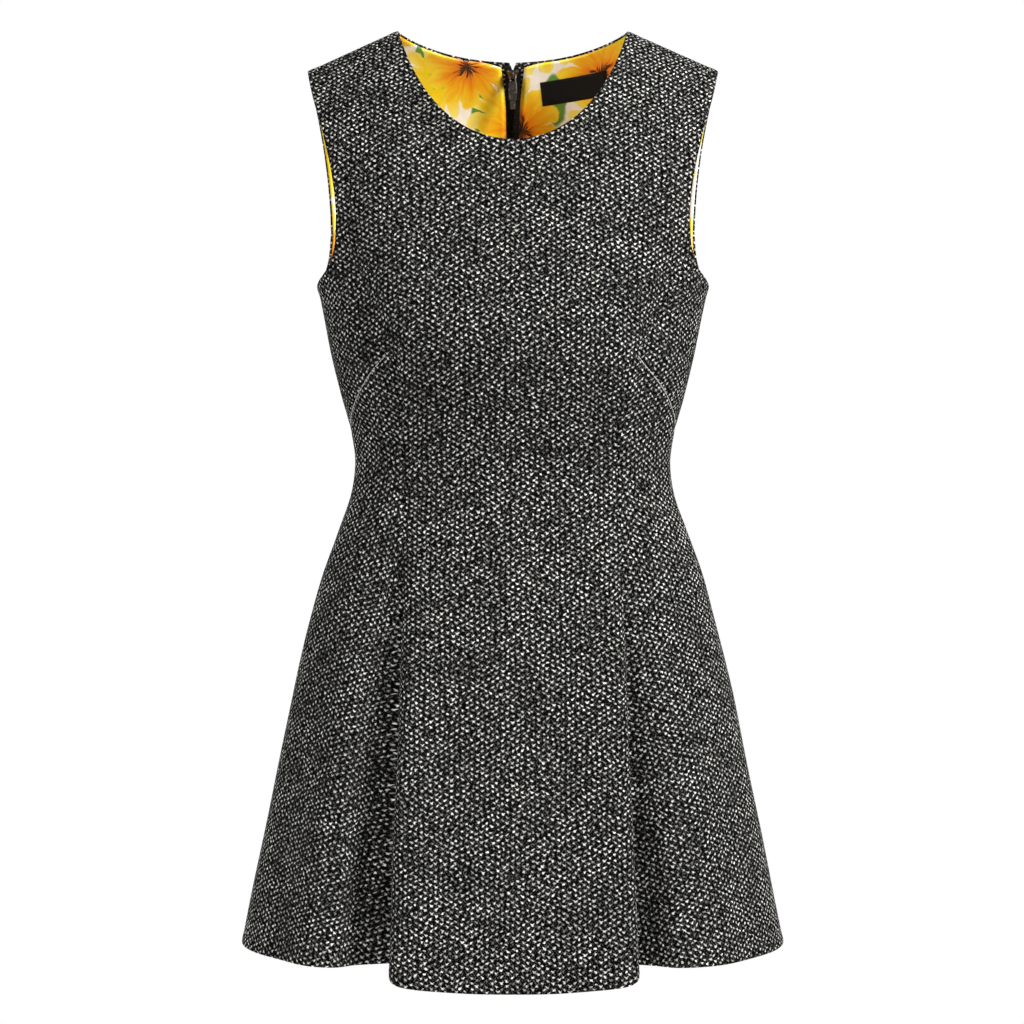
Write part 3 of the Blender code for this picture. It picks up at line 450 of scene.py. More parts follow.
@dataclass(frozen=True)
class Steps:
    """How finely the panels are laid out.

    fine is the number of rows or columns for each one of the plain solid, and edge the places
    of the extra lines within the first and last step beside an edge.
    """

    fine: int = 1
    edge: tuple[float, ...] = ()

    def shares(self, count: int, first: bool = False, last: bool = False) -> Array:
        """Even shares from 0 to 1 with the extra lines at the edges."""
        even = np.linspace(0.0, 1.0, count * self.fine + 1)
        extra = np.array(self.edge) / (count * self.fine)
        parts = [even] + ([extra] if first else []) + ([1 - extra] if last else [])
        return np.sort(np.concatenate(parts))


@dataclass(frozen=True)
class Block:
    """The pattern block: edges, seams and rows of every panel, in millimetres."""

    steps: Steps
    neck_half_width: float = 102.5
    neck_depth: tuple[float, float] = (-91.6, -0.7)
    neck_handles: tuple[tuple[float, float, float], ...] = ((60.0, 12.0, 46.0), (50.0, 18.0, 7.0))
    shoulder_tip: float = 184.0
    underarm_height: float = -212.0
    dart_height: float = -340.0
    dart_bend: float = 1.5
    dart_fading: float = 160.0
    front_hem: Hem = Hem(-817.0, -799.0, -796.0)
    back_hem: Hem = Hem(-806.0, -799.0, -796.0)
    seam_gap: float = 0.3
    cone_start: float = -330.0
    cone_top: float = -480.0
    cone_foot: float = -790.0
    flank_offset: float = 300.0
    columns: int = 9
    neck_rows: int = 9
    front_yoke_rows: int = 4
    back_yoke_rows: int = 5
    bust_rows: int = 5
    skirt_rows: int = 19
    shoulder_crowding: float = 1.5
    skirt_crowding: float = 1.3
    fold_crowding: float = 1.6
    crowding_top: float = -380.0
    crowding_bottom: float = -620.0

    # -- edges

    def neck(self, face: Face, shares: Array) -> Array:
        """The neckline from the neck point to the centre: one cubic curve on four handles."""
        number = 0 if face is Face.FRONT else 1
        depth, (reach, side_in, side_down) = self.neck_depth[number], self.neck_handles[number]
        top = float(FORM.ridge(self.neck_half_width))
        handles = np.array([
            (self.neck_half_width, top),
            (self.neck_half_width - side_in, top - side_down),
            (reach, depth),
            (0.0, depth),
        ])
        t = np.asarray(shares)
        weights = np.stack([(1 - t) ** 3, 3 * t * (1 - t) ** 2, 3 * t**2 * (1 - t), t**3], axis=-1)
        return weights @ handles

    def armhole(self, face: Face, first: int, last: int, shares: Array) -> Array:
        """Points between two of the armhole's rows, counted from the shoulder tip down."""
        table = ARMHOLES[face]
        tip = (self.shoulder_tip, float(FORM.ridge(self.shoulder_tip)))
        underarm = (float(FORM.measure("half_width", self.underarm_height)), self.underarm_height)
        rows = np.array([tip, *((x, z) for z, x in table), underarm], dtype=float)
        full = along(rows, np.linspace(0.0, 1.0, 801))
        ends = [np.argmin(np.linalg.norm(full - rows[number], axis=1)) / 800 for number in (first, last)]
        return along(rows, ends[0] + (ends[1] - ends[0]) * np.asarray(shares))

    @staticmethod
    def seam(rows: tuple[SeamPoint, ...], side: Side, heights: Array) -> Array:
        """Half widths and heights along a seam."""
        return np.stack([seam_at(rows, side, heights), heights], axis=-1)

    @staticmethod
    def centre(heights: Array) -> Array:
        """Half widths and heights down the centre line."""
        return np.stack([np.zeros_like(heights), heights], axis=-1)

    @staticmethod
    def flank(heights: Array) -> Array:
        """Half widths and heights down the side seam."""
        return np.stack([FORM.measure("half_width", heights), heights], axis=-1)

    # -- rows and columns

    def column_shares(self, heights: Array, seam_last: bool) -> Array:
        """Shares of the columns in each row, closer to the skirt seam as its folds deepen."""
        deep = np.clip((self.crowding_top - heights) / (self.crowding_top - self.crowding_bottom), 0.0, 1.0)
        crowd = 1 + (self.fold_crowding - 1) * deep[:, None]
        even = self.steps.shares(self.columns, first=True, last=True)[None, :]
        return 1 - (1 - even) ** crowd if seam_last else even**crowd

    def skirt_shares(self) -> Array:
        """Shares of the skirt's rows, from the end of the bust seam to the hem."""
        return self.steps.shares(self.skirt_rows, first=True, last=True)

    def front_levels(self) -> tuple[Array, Array, Array]:
        """Heights of the front skirt's rows at the centre, the seam and the side."""
        share = self.skirt_shares() ** self.skirt_crowding
        start = BUST_SEAM[-1].height
        seam = start + (self.front_hem.seam - start) * share
        centre = seam + (self.front_hem.centre - self.front_hem.seam) * share**3
        return centre, seam, self.dart_height + (self.front_hem.side - self.dart_height) * share

    def back_levels(self) -> tuple[Array, Array, Array]:
        """Heights of the back's rows below the armhole break at the centre, seam and side."""
        upper = self.steps.shares(self.bust_rows, first=True)
        side = np.concatenate([
            self.underarm_height + (self.dart_height - self.underarm_height) * upper,
            self.front_levels()[2][1:],
        ])
        share = (side - side[0]) / (side[-1] - side[0])
        top = BACK_SEAM[0].height
        return top + (self.back_hem.centre - top) * share, top + (self.back_hem.seam - top) * share, side

    # -- stretches of cloth

    def laid_out(self, angle: Array, height: Array, face: Face, side: Side, gore: bool) -> Cloth:
        """The stretch at a grid of angles and heights, with its place in the flat cut."""
        points = FORM.folded(angle, height, face, side)
        normals = FORM.normals(angle, height, face, side)
        plan = self.gore_plan(angle, height, face, side) if gore else self.centre_plan(angle, height, face, side)
        return Cloth(points * MM, normals, plan)

    def centre_plan(self, angle: Array, height: Array, face: Face, side: Side) -> Array:
        """Flat places of a centre panel: across from the centre line, and down from the neck.

        Down is the length of the centre line below the front neck, and above it the length
        of the cloth at the point's own half width. Across is the length of the level section.
        """
        base = self.neck_depth[0] + 0.0 * height
        below = np.minimum(height, base)
        down = FORM.drop_length(0.0 * height, base, below, face)
        half_width = FORM.plain(angle, np.maximum(height, base), face)[0]
        up = FORM.drop_length(half_width, base, np.maximum(height, base), face)
        across = FORM.level_length(0.0 * angle, angle, height, face, side)
        return np.stack([side * across, up - down], axis=-1)

    def gore_plan(self, angle: Array, height: Array, face: Face, side: Side) -> Array:
        """Flat places of a side gore, its grain along the side seam.

        Below the waist the gore opens like a sector of a cone. At a width w from the side seam
        its lines have turned by theta, the cone's opening times w over the gore's width, so the
        place is w sin(theta) / theta across and w (1 - cos(theta)) / theta above the side seam's
        point. Above the waist theta fades to 0, as in a straight piece.
        """
        quarter = np.full_like(angle, math.pi / 2)
        width = FORM.level_length(angle, quarter, height, face, side)
        rows = SKIRT_SEAMS[face]
        ends = np.array([self.cone_top, self.cone_foot])
        seams = FORM.angle_at(seam_at(rows, side, ends), ends)
        narrow, wide = FORM.level_length(seams, np.full(2, math.pi / 2), ends, face, side)
        share = np.clip((self.cone_top - height) / (self.cone_top - self.cone_foot), 0.0, 1.2)
        opening = (wide - narrow) / (self.flank_length(self.cone_foot) - self.flank_length(self.cone_top))
        fade = ease((self.cone_start - height) / (self.cone_start - self.cone_top))
        theta = np.maximum(opening * fade * width / (narrow + (wide - narrow) * share), 1e-4)
        across = side * (self.flank_offset - width * np.sin(theta) / theta)
        return np.stack([across, width * (1 - np.cos(theta)) / theta - self.flank_length(height)], axis=-1)

    def flank_length(self, height: Array | float) -> Array:
        """Length of the side seam from the underarm down to each height."""
        levels = np.linspace(60.0, -840.0, 901)
        widths = FORM.measure("half_width", levels)
        lengths = np.concatenate([[0.0], np.cumsum(np.hypot(np.diff(widths), np.diff(levels)))])
        return np.interp(-height, -levels, lengths) - np.interp(-self.underarm_height, -levels, lengths)

    def between(self, inner: Array, outer: Array, seam_last: bool, bend: Array | None = None,
                level: Array | None = None) -> tuple[Array, Array]:
        """Angles and heights of rows that run from the inner seam to the outer one.

        Args:
            inner: half width and height of each row's start.
            outer: half width and height of each row's end.
            seam_last: whether the skirt seam is the outer one.
            bend: each row's course, 1 for straight and more for one that drops early.
            level: 1 where a row leaves the inner seam level, and 0 where it runs straight.

        Returns:
            The angles and the heights of the grid.
        """
        shares = self.column_shares(outer[:, 1] if seam_last else inner[:, 1], seam_last)
        start = FORM.angle_at(inner[:, 0], inner[:, 1])[:, None]
        end = FORM.angle_at(outer[:, 0], outer[:, 1])[:, None]
        course = shares if bend is None else 1 - (1 - shares) ** bend[:, None]
        if level is not None:
            course = course + (shares**3 - course) * level[:, None]
        return start + (end - start) * shares, inner[:, 1:] + (outer[:, 1:] - inner[:, 1:]) * course

    def on_ridge(self, cloth: Cloth, face: Face) -> Cloth:
        """The stretch with its first row on the shoulder ridge, facing square to it."""
        x = cloth.points[0, :, 0] / MM
        cloth.points[0, :, 1] = face * self.seam_gap / 2 * MM
        cloth.points[0, :, 2] = FORM.ridge(x) * MM
        slope = FORM.ridge_slope * x / np.hypot(x, FORM.ridge_round)
        cloth.normals[0] = unit(np.stack([slope, 0 * slope, 1 + 0 * slope], axis=-1))
        return cloth

    def to_ridge(self, angle: Array, height: Array, face: Face, rows: Array) -> Array:
        """Heights eased so that the rows near the shoulder run along the ridge."""
        x, _ = FORM.plain(angle[:1], height[:1], face)
        lift = FORM.ridge(x) - height[:1]
        return height + lift * np.clip(1 - rows, 0.0, 1.0)[:, None] ** 2

    def centre_panel(self, face: Face, side: Side, yoke_rows: int, marks: tuple[int, int],
                     rows: tuple[SeamPoint, ...], lower: tuple[Array, Array]) -> Cloth:
        """A centre panel from the shoulder seam to the hem.

        Args:
            face: the front or the back.
            side: the half.
            yoke_rows: how many rows lie between the neckline's foot and the seam's top.
            marks: the armhole's rows beside the neckline's foot and at the seam's top.
            rows: the seam that starts at the armhole.
            lower: the rows below its top, at the centre and at the seam.

        Returns:
            The stretch, its first row on the shoulder ridge.
        """
        neck = self.steps.shares(self.neck_rows) ** self.shoulder_crowding
        yoke = self.steps.shares(yoke_rows, first=True)[1:]
        base = self.neck_depth[0 if face is Face.FRONT else 1]
        middle = self.centre(base + (rows[0].height - base) * yoke)
        inner = np.concatenate([self.neck(face, neck), middle, lower[0]])
        outer = np.concatenate([self.armhole(face, 0, marks[0], neck), self.armhole(face, *marks, yoke), lower[1]])
        level = (np.arange(len(inner)) >= len(neck) + len(yoke)).astype(float)
        angle, height = self.between(inner, outer, True, None, level)
        height = self.to_ridge(angle, height, face, np.concatenate([neck, np.ones(len(inner) - len(neck))]))
        return self.on_ridge(self.laid_out(angle, height, face, side, False), face)

    def front_centre(self, side: Side) -> Cloth:
        """One half of the front centre panel, beside the bust seam and the skirt seam."""
        top, foot = BUST_SEAM[0].height, BUST_SEAM[-1].height
        bust = top + (foot - top) * self.steps.shares(self.bust_rows)[1:]
        centre, seam, _ = self.front_levels()
        inner = self.centre(np.concatenate([bust, centre[1:]]))
        outer = np.concatenate([self.seam(BUST_SEAM, side, bust), self.seam(FRONT_SKIRT_SEAM, side, seam[1:])])
        return self.centre_panel(Face.FRONT, side, self.front_yoke_rows, (3, 6), BUST_SEAM, (inner, outer))

    def front_underarm(self, side: Side) -> Cloth:
        """The small panel between the armhole, the bust seam, the dart seam and the side."""
        share = self.steps.shares(self.bust_rows, first=True, last=True)
        heights = BUST_SEAM[0].height + (BUST_SEAM[-1].height - BUST_SEAM[0].height) * share
        inner = self.seam(BUST_SEAM, side, heights)
        outer = self.flank(self.underarm_height + (self.dart_height - self.underarm_height) * share)
        angle, height = self.between(inner, outer, False, np.full(len(share), self.dart_bend))
        even = self.column_shares(heights, False)[0]
        edge = self.armhole(Face.FRONT, 6, 7, even)
        ease_in = np.clip(1 - share * self.bust_rows, 0.0, 1.0)[:, None] ** 2
        height = height + (edge[:, 1] - height[:1]) * ease_in
        angle = angle + (FORM.angle_at(edge[:, 0], edge[:, 1]) - angle[:1]) * ease_in
        return self.laid_out(angle, height, Face.FRONT, side, True)

    def front_side(self, side: Side) -> Cloth:
        """The side front panel, from the dart seam down to the hem."""
        _, seam, flank = self.front_levels()
        fading = 1 - np.clip((flank[0] - flank) / self.dart_fading, 0.0, 1.0)
        bend = 1 + (self.dart_bend - 1) * fading
        inner = self.seam(FRONT_SKIRT_SEAM, side, seam)
        angle, height = self.between(inner, self.flank(flank), False, bend)
        return self.laid_out(angle, height, Face.FRONT, side, True)

    def back_centre(self, side: Side) -> Cloth:
        """One centre back panel, open at the zip."""
        centre, seam, _ = self.back_levels()
        lower = self.centre(centre[1:]), self.seam(BACK_SEAM, side, seam[1:])
        return self.centre_panel(Face.BACK, side, self.back_yoke_rows, (2, 4), BACK_SEAM, lower)

    def back_side(self, side: Side) -> Cloth:
        """One side back panel, from the armhole to the hem."""
        _, seam, flank = self.back_levels()
        inner = self.seam(BACK_SEAM, side, seam)
        angle, height = self.between(inner, self.flank(flank), False)
        even = self.column_shares(seam, False)[0]
        edge = self.armhole(Face.BACK, 4, 7, even)
        reach = (self.underarm_height - flank) / (self.underarm_height - self.dart_height) * self.bust_rows
        ease_in = np.clip(1 - reach / 3.2, 0.0, 1.0)[:, None] ** 2
        height = height + (edge[:, 1] - height[:1]) * ease_in
        wanted = FORM.angle_at(edge[:, 0], edge[:, 1])
        angle = angle + (wanted - angle[:1]) * np.clip(1 - reach, 0.0, 1.0)[:, None] ** 2
        return self.laid_out(angle, height, Face.BACK, side, True)


# == walls of cloth


class EdgeKind(Enum):
    """How the edge of a panel is finished."""

    SEAM = "seam"
    FOLDED = "folded"


@dataclass(frozen=True)
class EdgeRun:
    """One finished edge of a stretch: its kind and the grid lines that it follows."""

    kind: EdgeKind
    rows: slice
    columns: slice


def folded_runs(*lines: tuple[slice, slice]) -> tuple[EdgeRun, ...]:
    """Folded edges along some grid lines."""
    return tuple(EdgeRun(EdgeKind.FOLDED, *line) for line in lines)


RIBBON_EDGES = folded_runs((FIRST, EVERY), (LAST, EVERY), (EVERY, FIRST), (EVERY, LAST))


@dataclass(frozen=True)
class Stretch:
    """A stretch of cloth with its edges.

    joined names the rows of its first column that are the same cloth as the stretch before,
    and the rows and the column there.
    """

    cloth: Cloth
    face: Face
    runs: tuple[EdgeRun, ...]
    joined: tuple[slice, slice, int] | None = None


@dataclass(frozen=True)
class WallCut:
    """Thickness of a wall, its depth inside the form and the shape of its edges, in millimetres."""

    thickness: float = 2.4
    depth: float = 0.0
    seam_round: float = 0.75
    fold_round: float = 1.7
    trough: float = 0.55
    trough_width: float = 3.4
    turn_rise: float = 0.35
    turn_place: float = 4.5
    turn_width: float = 4.0
    lining_step: float = 1.3
    edge_turn: float = 1.9
    lining_end: float = -378.0

    def rounding(self, distance: Array, radius: float) -> Array:
        """A quarter circle: 1 at the edge, 0 from the radius inwards."""
        return 1 - np.sqrt(1 - (1 - np.clip(distance / radius, 0.0, 1.0)) ** 2)


def cells(grid: Array) -> Array:
    """The four corners of each cell of a grid."""
    return np.stack([grid[:-1, :-1], grid[1:, :-1], grid[1:, 1:], grid[:-1, 1:]], axis=-1)


def mesh_object(name: str, points: Array, faces: list[Array], plan: Array | None,
                materials: list[Material], numbers: Array | None = None) -> bpy.types.Object:
    """A mesh object at the origin from whole arrays.

    Args:
        name: the piece's name.
        points: places in metres.
        faces: arrays of corner numbers, one for each number of corners.
        plan: each point's place in the flat cut, in millimetres, or None.
        materials: the piece's finishes.
        numbers: each face's finish, or None.

    Returns:
        The object, shaded smooth.
    """
    mesh = bpy.data.meshes.new(name)
    mesh.vertices.add(len(points))
    mesh.vertices.foreach_set("co", np.asarray(points, dtype=np.float32).ravel())
    corners = np.concatenate([block.ravel() for block in faces])
    sizes = np.concatenate([np.full(len(block), block.shape[1]) for block in faces])
    mesh.loops.add(len(corners))
    mesh.loops.foreach_set("vertex_index", corners.astype(np.int32))
    mesh.polygons.add(len(sizes))
    starts = np.concatenate([[0], np.cumsum(sizes)[:-1]])
    mesh.polygons.foreach_set("loop_start", starts.astype(np.int32))
    if plan is not None:
        layer = mesh.uv_layers.new(name=CUT_MAP)
        layer.uv.foreach_set("vector", (plan[corners] * MM).astype(np.float32).ravel())
    for material in materials:
        mesh.materials.append(material)
    if numbers is not None:
        mesh.polygons.foreach_set("material_index", numbers.astype(np.int32))
    mesh.update(calc_edges=True)
    mesh.validate()
    mesh.shade_smooth()
    item = bpy.data.objects.new(name, mesh)
    bpy.context.scene.collection.objects.link(item)
    return item


def wall_of(name: str, stretches: list[Stretch], cut: WallCut, materials: list[Material],
            lined: bool = False) -> bpy.types.Object:
    """A closed wall of cloth, its outer face on the stretches, its edges rounded.

    The outer face is moved along its normals by the relief of the form and by the troughs
    beside the seams. The inner face lies a thickness further in. Towards an edge both close
    on the middle of the wall, as a quarter circle of the distance to it.

    Args:
        name: the piece's name.
        stretches: the stretches, each joined to the one before it.
        cut: thickness and edges.
        materials: the cloth's finish, and the lining's where it is lined.
        lined: whether the inside carries the bodice lining, away from the edges.

    Returns:
        The piece.
    """
    points, plans, quads, numbers = [], [], [], []
    count = 0
    before: tuple[Array, Array] | None = None
    for stretch in stretches:
        cloth = stretch.cloth
        shape = cloth.points.shape[:2]
        place = cloth.points / MM
        rise = FORM.relief(place, stretch.face) - cut.depth
        edging = np.zeros(shape)
        open_edge = np.zeros(shape, dtype=bool)
        nearest = np.full(shape, 1000.0)
        for run in stretch.runs:
            path = place[run.rows, run.columns].reshape(-1, 3)
            distance = distance_to_path(place, path)
            open_edge[run.rows, run.columns] = True
            if run.kind is EdgeKind.SEAM:
                rise = rise - cut.trough * bump_of(distance / cut.trough_width)
                edging = np.maximum(edging, cut.rounding(distance, cut.seam_round))
            else:
                rise = rise + cut.turn_rise * bump_of((distance - cut.turn_place) / cut.turn_width)
                edging = np.maximum(edging, cut.rounding(distance, cut.fold_round))
                nearest = np.minimum(nearest, distance)
        edging[open_edge] = 1.0
        inner_depth = cut.thickness * (1 - edging / 2)
        is_lined = np.zeros(shape, dtype=bool)
        if lined:
            is_lined = (nearest > cut.edge_turn) & (place[..., 2] > cut.lining_end) & ~open_edge
            inner_depth = inner_depth + cut.lining_step * is_lined
        outer = place + cloth.normals * (rise - cut.thickness * edging / 2)[..., None]
        inner = place + cloth.normals * (rise - inner_depth)[..., None]
        outer_index = count + np.arange(edging.size).reshape(shape)
        inner_index = outer_index + edging.size
        count += 2 * edging.size
        if stretch.joined is not None and before is not None:
            here, there, column = stretch.joined
            outer_index[here, 0] = before[0][there, column]
            inner_index[here, 0] = before[1][there, column]
        inner_index = np.where(open_edge, outer_index, inner_index)
        before = (outer_index, inner_index)
        points += [outer.reshape(-1, 3), inner.reshape(-1, 3)]
        plans += [cloth.plan.reshape(-1, 2)] * 2
        down = place[1:, :-1] - place[:-1, :-1]
        across = place[:-1, 1:] - place[:-1, :-1]
        outwards = float(np.sum(np.cross(down, across) * cloth.normals[:-1, :-1])) > 0
        for index, flip in ((outer_index, not outwards), (inner_index, outwards)):
            block = cells(index)
            quads.append((block[..., ::-1] if flip else block).reshape(-1, 4))
        print_faces = cells(is_lined).all(axis=-1)
        numbers += [np.zeros(print_faces.size), print_faces.ravel().astype(float)]
    used, faces = np.unique(np.concatenate(quads), return_inverse=True)
    return mesh_object(
        name,
        np.concatenate(points)[used] * MM,
        [faces.reshape(-1, 4)],
        np.concatenate(plans)[used],
        materials,
        np.concatenate(numbers),
    )


# == finishes


def linear(code: str) -> tuple[float, float, float, float]:
    """A colour written as an sRGB hex code, turned to linear light."""
    parts = [int(code[i:i + 2], 16) / 255 for i in (1, 3, 5)]
    red, green, blue = (c / 12.92 if c <= 0.04045 else ((c + 0.055) / 1.055) ** 2.4 for c in parts)
    return red, green, blue, 1.0


CHOICES = {
    "MapRange": "interpolation_type",
    "Mix": "data_type",
    "TexNoise": "noise_dimensions",
    "TexVoronoi": "voronoi_dimensions",
    "TexWhiteNoise": "noise_dimensions",
}


def add_node(tree: bpy.types.NodeTree, kind: str, *inputs: object, **settings: object) -> Node:
    """Add a node with its settings and its links.

    Args:
        tree: the node tree.
        kind: the node's type after "ShaderNode", and after a colon its operation or like choice.
        inputs: values or links of its sockets that are in use, in their order.
        settings: properties of the node, or values and links of its named sockets, with
            underscores for spaces.

    Returns:
        The node.
    """
    kind, _, choice = kind.partition(":")
    item = tree.nodes.new("ShaderNode" + kind)
    if choice:
        setattr(item, CHOICES.get(kind, "operation"), choice)
    named = {}
    for key, value in settings.items():
        if hasattr(item, key):
            setattr(item, key, value)
        else:
            named[key.replace("_", " ")] = value
    active = [socket for socket in item.inputs if socket.enabled]
    pairs = [*zip(active, inputs), *((item.inputs[key], value) for key, value in named.items())]
    for socket, value in pairs:
        if isinstance(value, Node):
            value = next(output for output in value.outputs if output.enabled)
        if isinstance(value, bpy.types.NodeSocket):
            tree.links.new(value, socket)
        elif value is not None:
            socket.default_value = value
    return item


def cut_place(put: Put) -> Node:
    """The place in the cut laid flat, in millimetres."""
    return put("VectorMath:SCALE", put("UVMap", uv_map=CUT_MAP), Scale=1 / MM)


def wandering(put: Put, place: Node, pitch: float, amount: float, roughness: float = 0.5) -> Node:
    """A place moved at random by up to half the amount each way, through a slow noise."""
    drift = put("TexNoise:2D", place, Scale=1 / pitch, Detail=3.0, Roughness=roughness)
    drift = put("VectorMath:SUBTRACT", drift.outputs["Color"], (0.5, 0.5, 0.5))
    return put("VectorMath:ADD", place, put("VectorMath:SCALE", drift, Scale=amount))


def ribs(put: Put, place: Node, slant: float, pitch: float) -> Node:
    """A sine of the place, one wave for each pitch along a way turned from Y by degrees."""
    turn = math.radians(slant)
    phase = put("VectorMath:DOT_PRODUCT", place, (math.sin(turn) / pitch, math.cos(turn) / pitch, 0.0))
    return put("Math:SINE", put("Math:MULTIPLY", phase.outputs["Value"], 2 * math.pi))


class Finish:
    """A finish of the dress; each kind gives the inputs of its surface."""

    name: str

    def surface(self, put: Put) -> dict:
        """Inputs of the surface, from nodes that put adds."""
        raise NotImplementedError

    def material(self) -> Material:
        """The finish's material."""
        material = bpy.data.materials.new(self.name)
        material.use_nodes = True
        material.node_tree.nodes.clear()
        put = partial(add_node, material.node_tree)
        put("OutputMaterial", Surface=put("BsdfPrincipled", **self.surface(put)))
        return material


@dataclass(frozen=True)
class TweedFinish(Finish):
    """Boucle tweed, woven from a black wool ground with white slubs.

    To the eye it is a matt black cloth full of short white flecks in staggered rows, some with
    slanting tails, and with grey threads that cross between them. The flecks stand a little
    proud. Wool scatters light so evenly that its gloss, though its IOR is near 1.55, is left out.
    """

    name: str = "boucle_tweed_woven"
    black: str = "#070707"
    charcoal: str = "#5e5d59"
    white: str = "#fffdf6"
    fleck_across: float = 4.3
    fleck_down: float = 2.42
    fleck_half_width: float = 0.72
    fleck_half_height: float = 0.66
    wander: float = 2.0
    wander_pitch: float = 24.0
    tail_slope: float = 0.95
    tail_length: float = 2.0
    tail_width: float = 0.95
    thread_pitch: float = 2.05
    thread_slant: float = 52.0
    roughness: float = 0.95
    relief: float = 0.0006

    def surface(self, put: Put) -> dict:
        """The cloth's pattern, laid out in millimetres of the flat cut."""

        def soft(value: Node, start: float, end: float) -> Node:
            """A value's share of the way from start to end, eased."""
            return put("MapRange:SMOOTHSTEP", value, start, end, 0.0, 1.0)

        plain = cut_place(put)
        plan = wandering(put, plain, self.wander_pitch, 2 * self.wander, 0.6)
        axes = put("SeparateXYZ", plan)
        across = put("Math:DIVIDE", axes.outputs[0], self.fleck_across)
        down = put("Math:DIVIDE", axes.outputs[1], self.fleck_down)
        lattice = put("CombineXYZ", put("Math:ADD", across, down), put("Math:SUBTRACT", across, down))
        lattice = put("VectorMath:SCALE", lattice, Scale=0.5)
        cell = put("VectorMath:FLOOR", put("VectorMath:ADD", lattice, (0.5, 0.5, 0.5)))
        local = put("SeparateXYZ", put("VectorMath:SUBTRACT", lattice, cell))
        throws = put("SeparateColor", put("TexWhiteNoise:3D", cell).outputs["Color"])

        # Place in millimetres from the middle of the cell's fleck, which is moved at random
        aside = put("Math:ADD", local.outputs[0], local.outputs[1])
        above = put("Math:SUBTRACT", local.outputs[0], local.outputs[1])
        jog = put("MapRange", throws.outputs[0], 0.0, 1.0, -1.1, 1.1)
        lift = put("MapRange", throws.outputs[1], 0.0, 1.0, -0.6, 0.6)
        aside = put("Math:MULTIPLY_ADD", aside, self.fleck_across, jog)
        above = put("Math:MULTIPLY_ADD", above, self.fleck_down, lift)
        spot = put("CombineXYZ", aside, above)

        # The fleck: a soft ellipse with a frayed edge, its brightness thrown for each cell
        reach = put("VectorMath:DIVIDE", spot, (self.fleck_half_width, self.fleck_half_height, 1.0))
        reach = put("VectorMath:LENGTH", reach)
        frayed = put("MapRange", put("TexNoise:2D", plan, Scale=0.75, Detail=1.0), 0.0, 1.0, -1.5, 1.5)
        reach = put("Math:ADD", reach.outputs["Value"], frayed)
        fleck = soft(reach, 1.7, 0.7)
        cloud = put("MapRange", put("TexNoise:2D", plain, Scale=1 / 30.0, Detail=2.0), 0.3, 0.7, 0.62, 1.2)
        bright = put("MapRange", put("Math:POWER", throws.outputs[2], 1.2), 0.0, 1.0, 0.12, 1.0)
        fleck = put("Math:MULTIPLY", fleck, put("Math:MULTIPLY", bright, cloud))

        # Tails that leave the fleck upwards, to one side, the other or both as a V
        tails = []
        for number, way in enumerate((1.0, -1.0)):
            place = put("VectorMath:ADD", cell, (17.0 * number + 5.0, 3.0, 11.0))
            chance = soft(put("TexWhiteNoise:3D", place), 0.35, 1.0)
            slope = put("Math:MULTIPLY_ADD", aside, -way * self.tail_slope, above)
            narrow = soft(put("Math:ABSOLUTE", slope), self.tail_width, 0.0)
            tail = put("Math:MULTIPLY", put("Math:MULTIPLY", narrow, chance), soft(above, self.tail_length, 0.5))
            tails.append(put("Math:MULTIPLY", tail, soft(above, -0.9, 0.1)))
        tail = put("Math:MULTIPLY", put("Math:MAXIMUM", *tails), cloud)

        # Grey threads that cross the ground on both slants
        threads = []
        for number, slant in enumerate((self.thread_slant, -self.thread_slant)):
            wave = put("MapRange", ribs(put, plan, slant, self.thread_pitch), 0.2, 1.0, 0.0, 1.0)
            patch = put("TexNoise:2D", put("VectorMath:ADD", plan, (61.0 * number, 7.0, 0.0)), Scale=0.4, Detail=1.0)
            patch = put("MapRange", patch, 0.5, 0.72, 0.0, 1.0)
            threads.append(put("Math:MULTIPLY", wave, patch))
        thread = put("Math:MAXIMUM", *threads)

        ground = put("Mix:RGBA", thread, linear(self.black), linear(self.charcoal))
        white = put("Math:MINIMUM", put("Math:MAXIMUM", fleck, tail), 1.0)
        colour = put("Mix:RGBA", white, ground, linear(self.white))
        height = put("Math:MULTIPLY_ADD", thread, 0.25, white)
        bump = put("Bump", Strength=0.5, Distance=self.relief, Height=height)
        return {"Base_Color": colour, "Roughness": self.roughness, "Specular_IOR_Level": 0.0, "Normal": bump}


@dataclass(frozen=True)
class Bloom:
    """One kind of flower in the print.

    pitch is the spacing in millimetres, reach the petals' length as a share of it, and the
    colours run from the middle of the flower to the tips of its petals.
    """

    pitch: float
    offset: tuple[float, float]
    petals: int
    reach: float
    centre: str
    heart: str
    petal: str
    tip: str


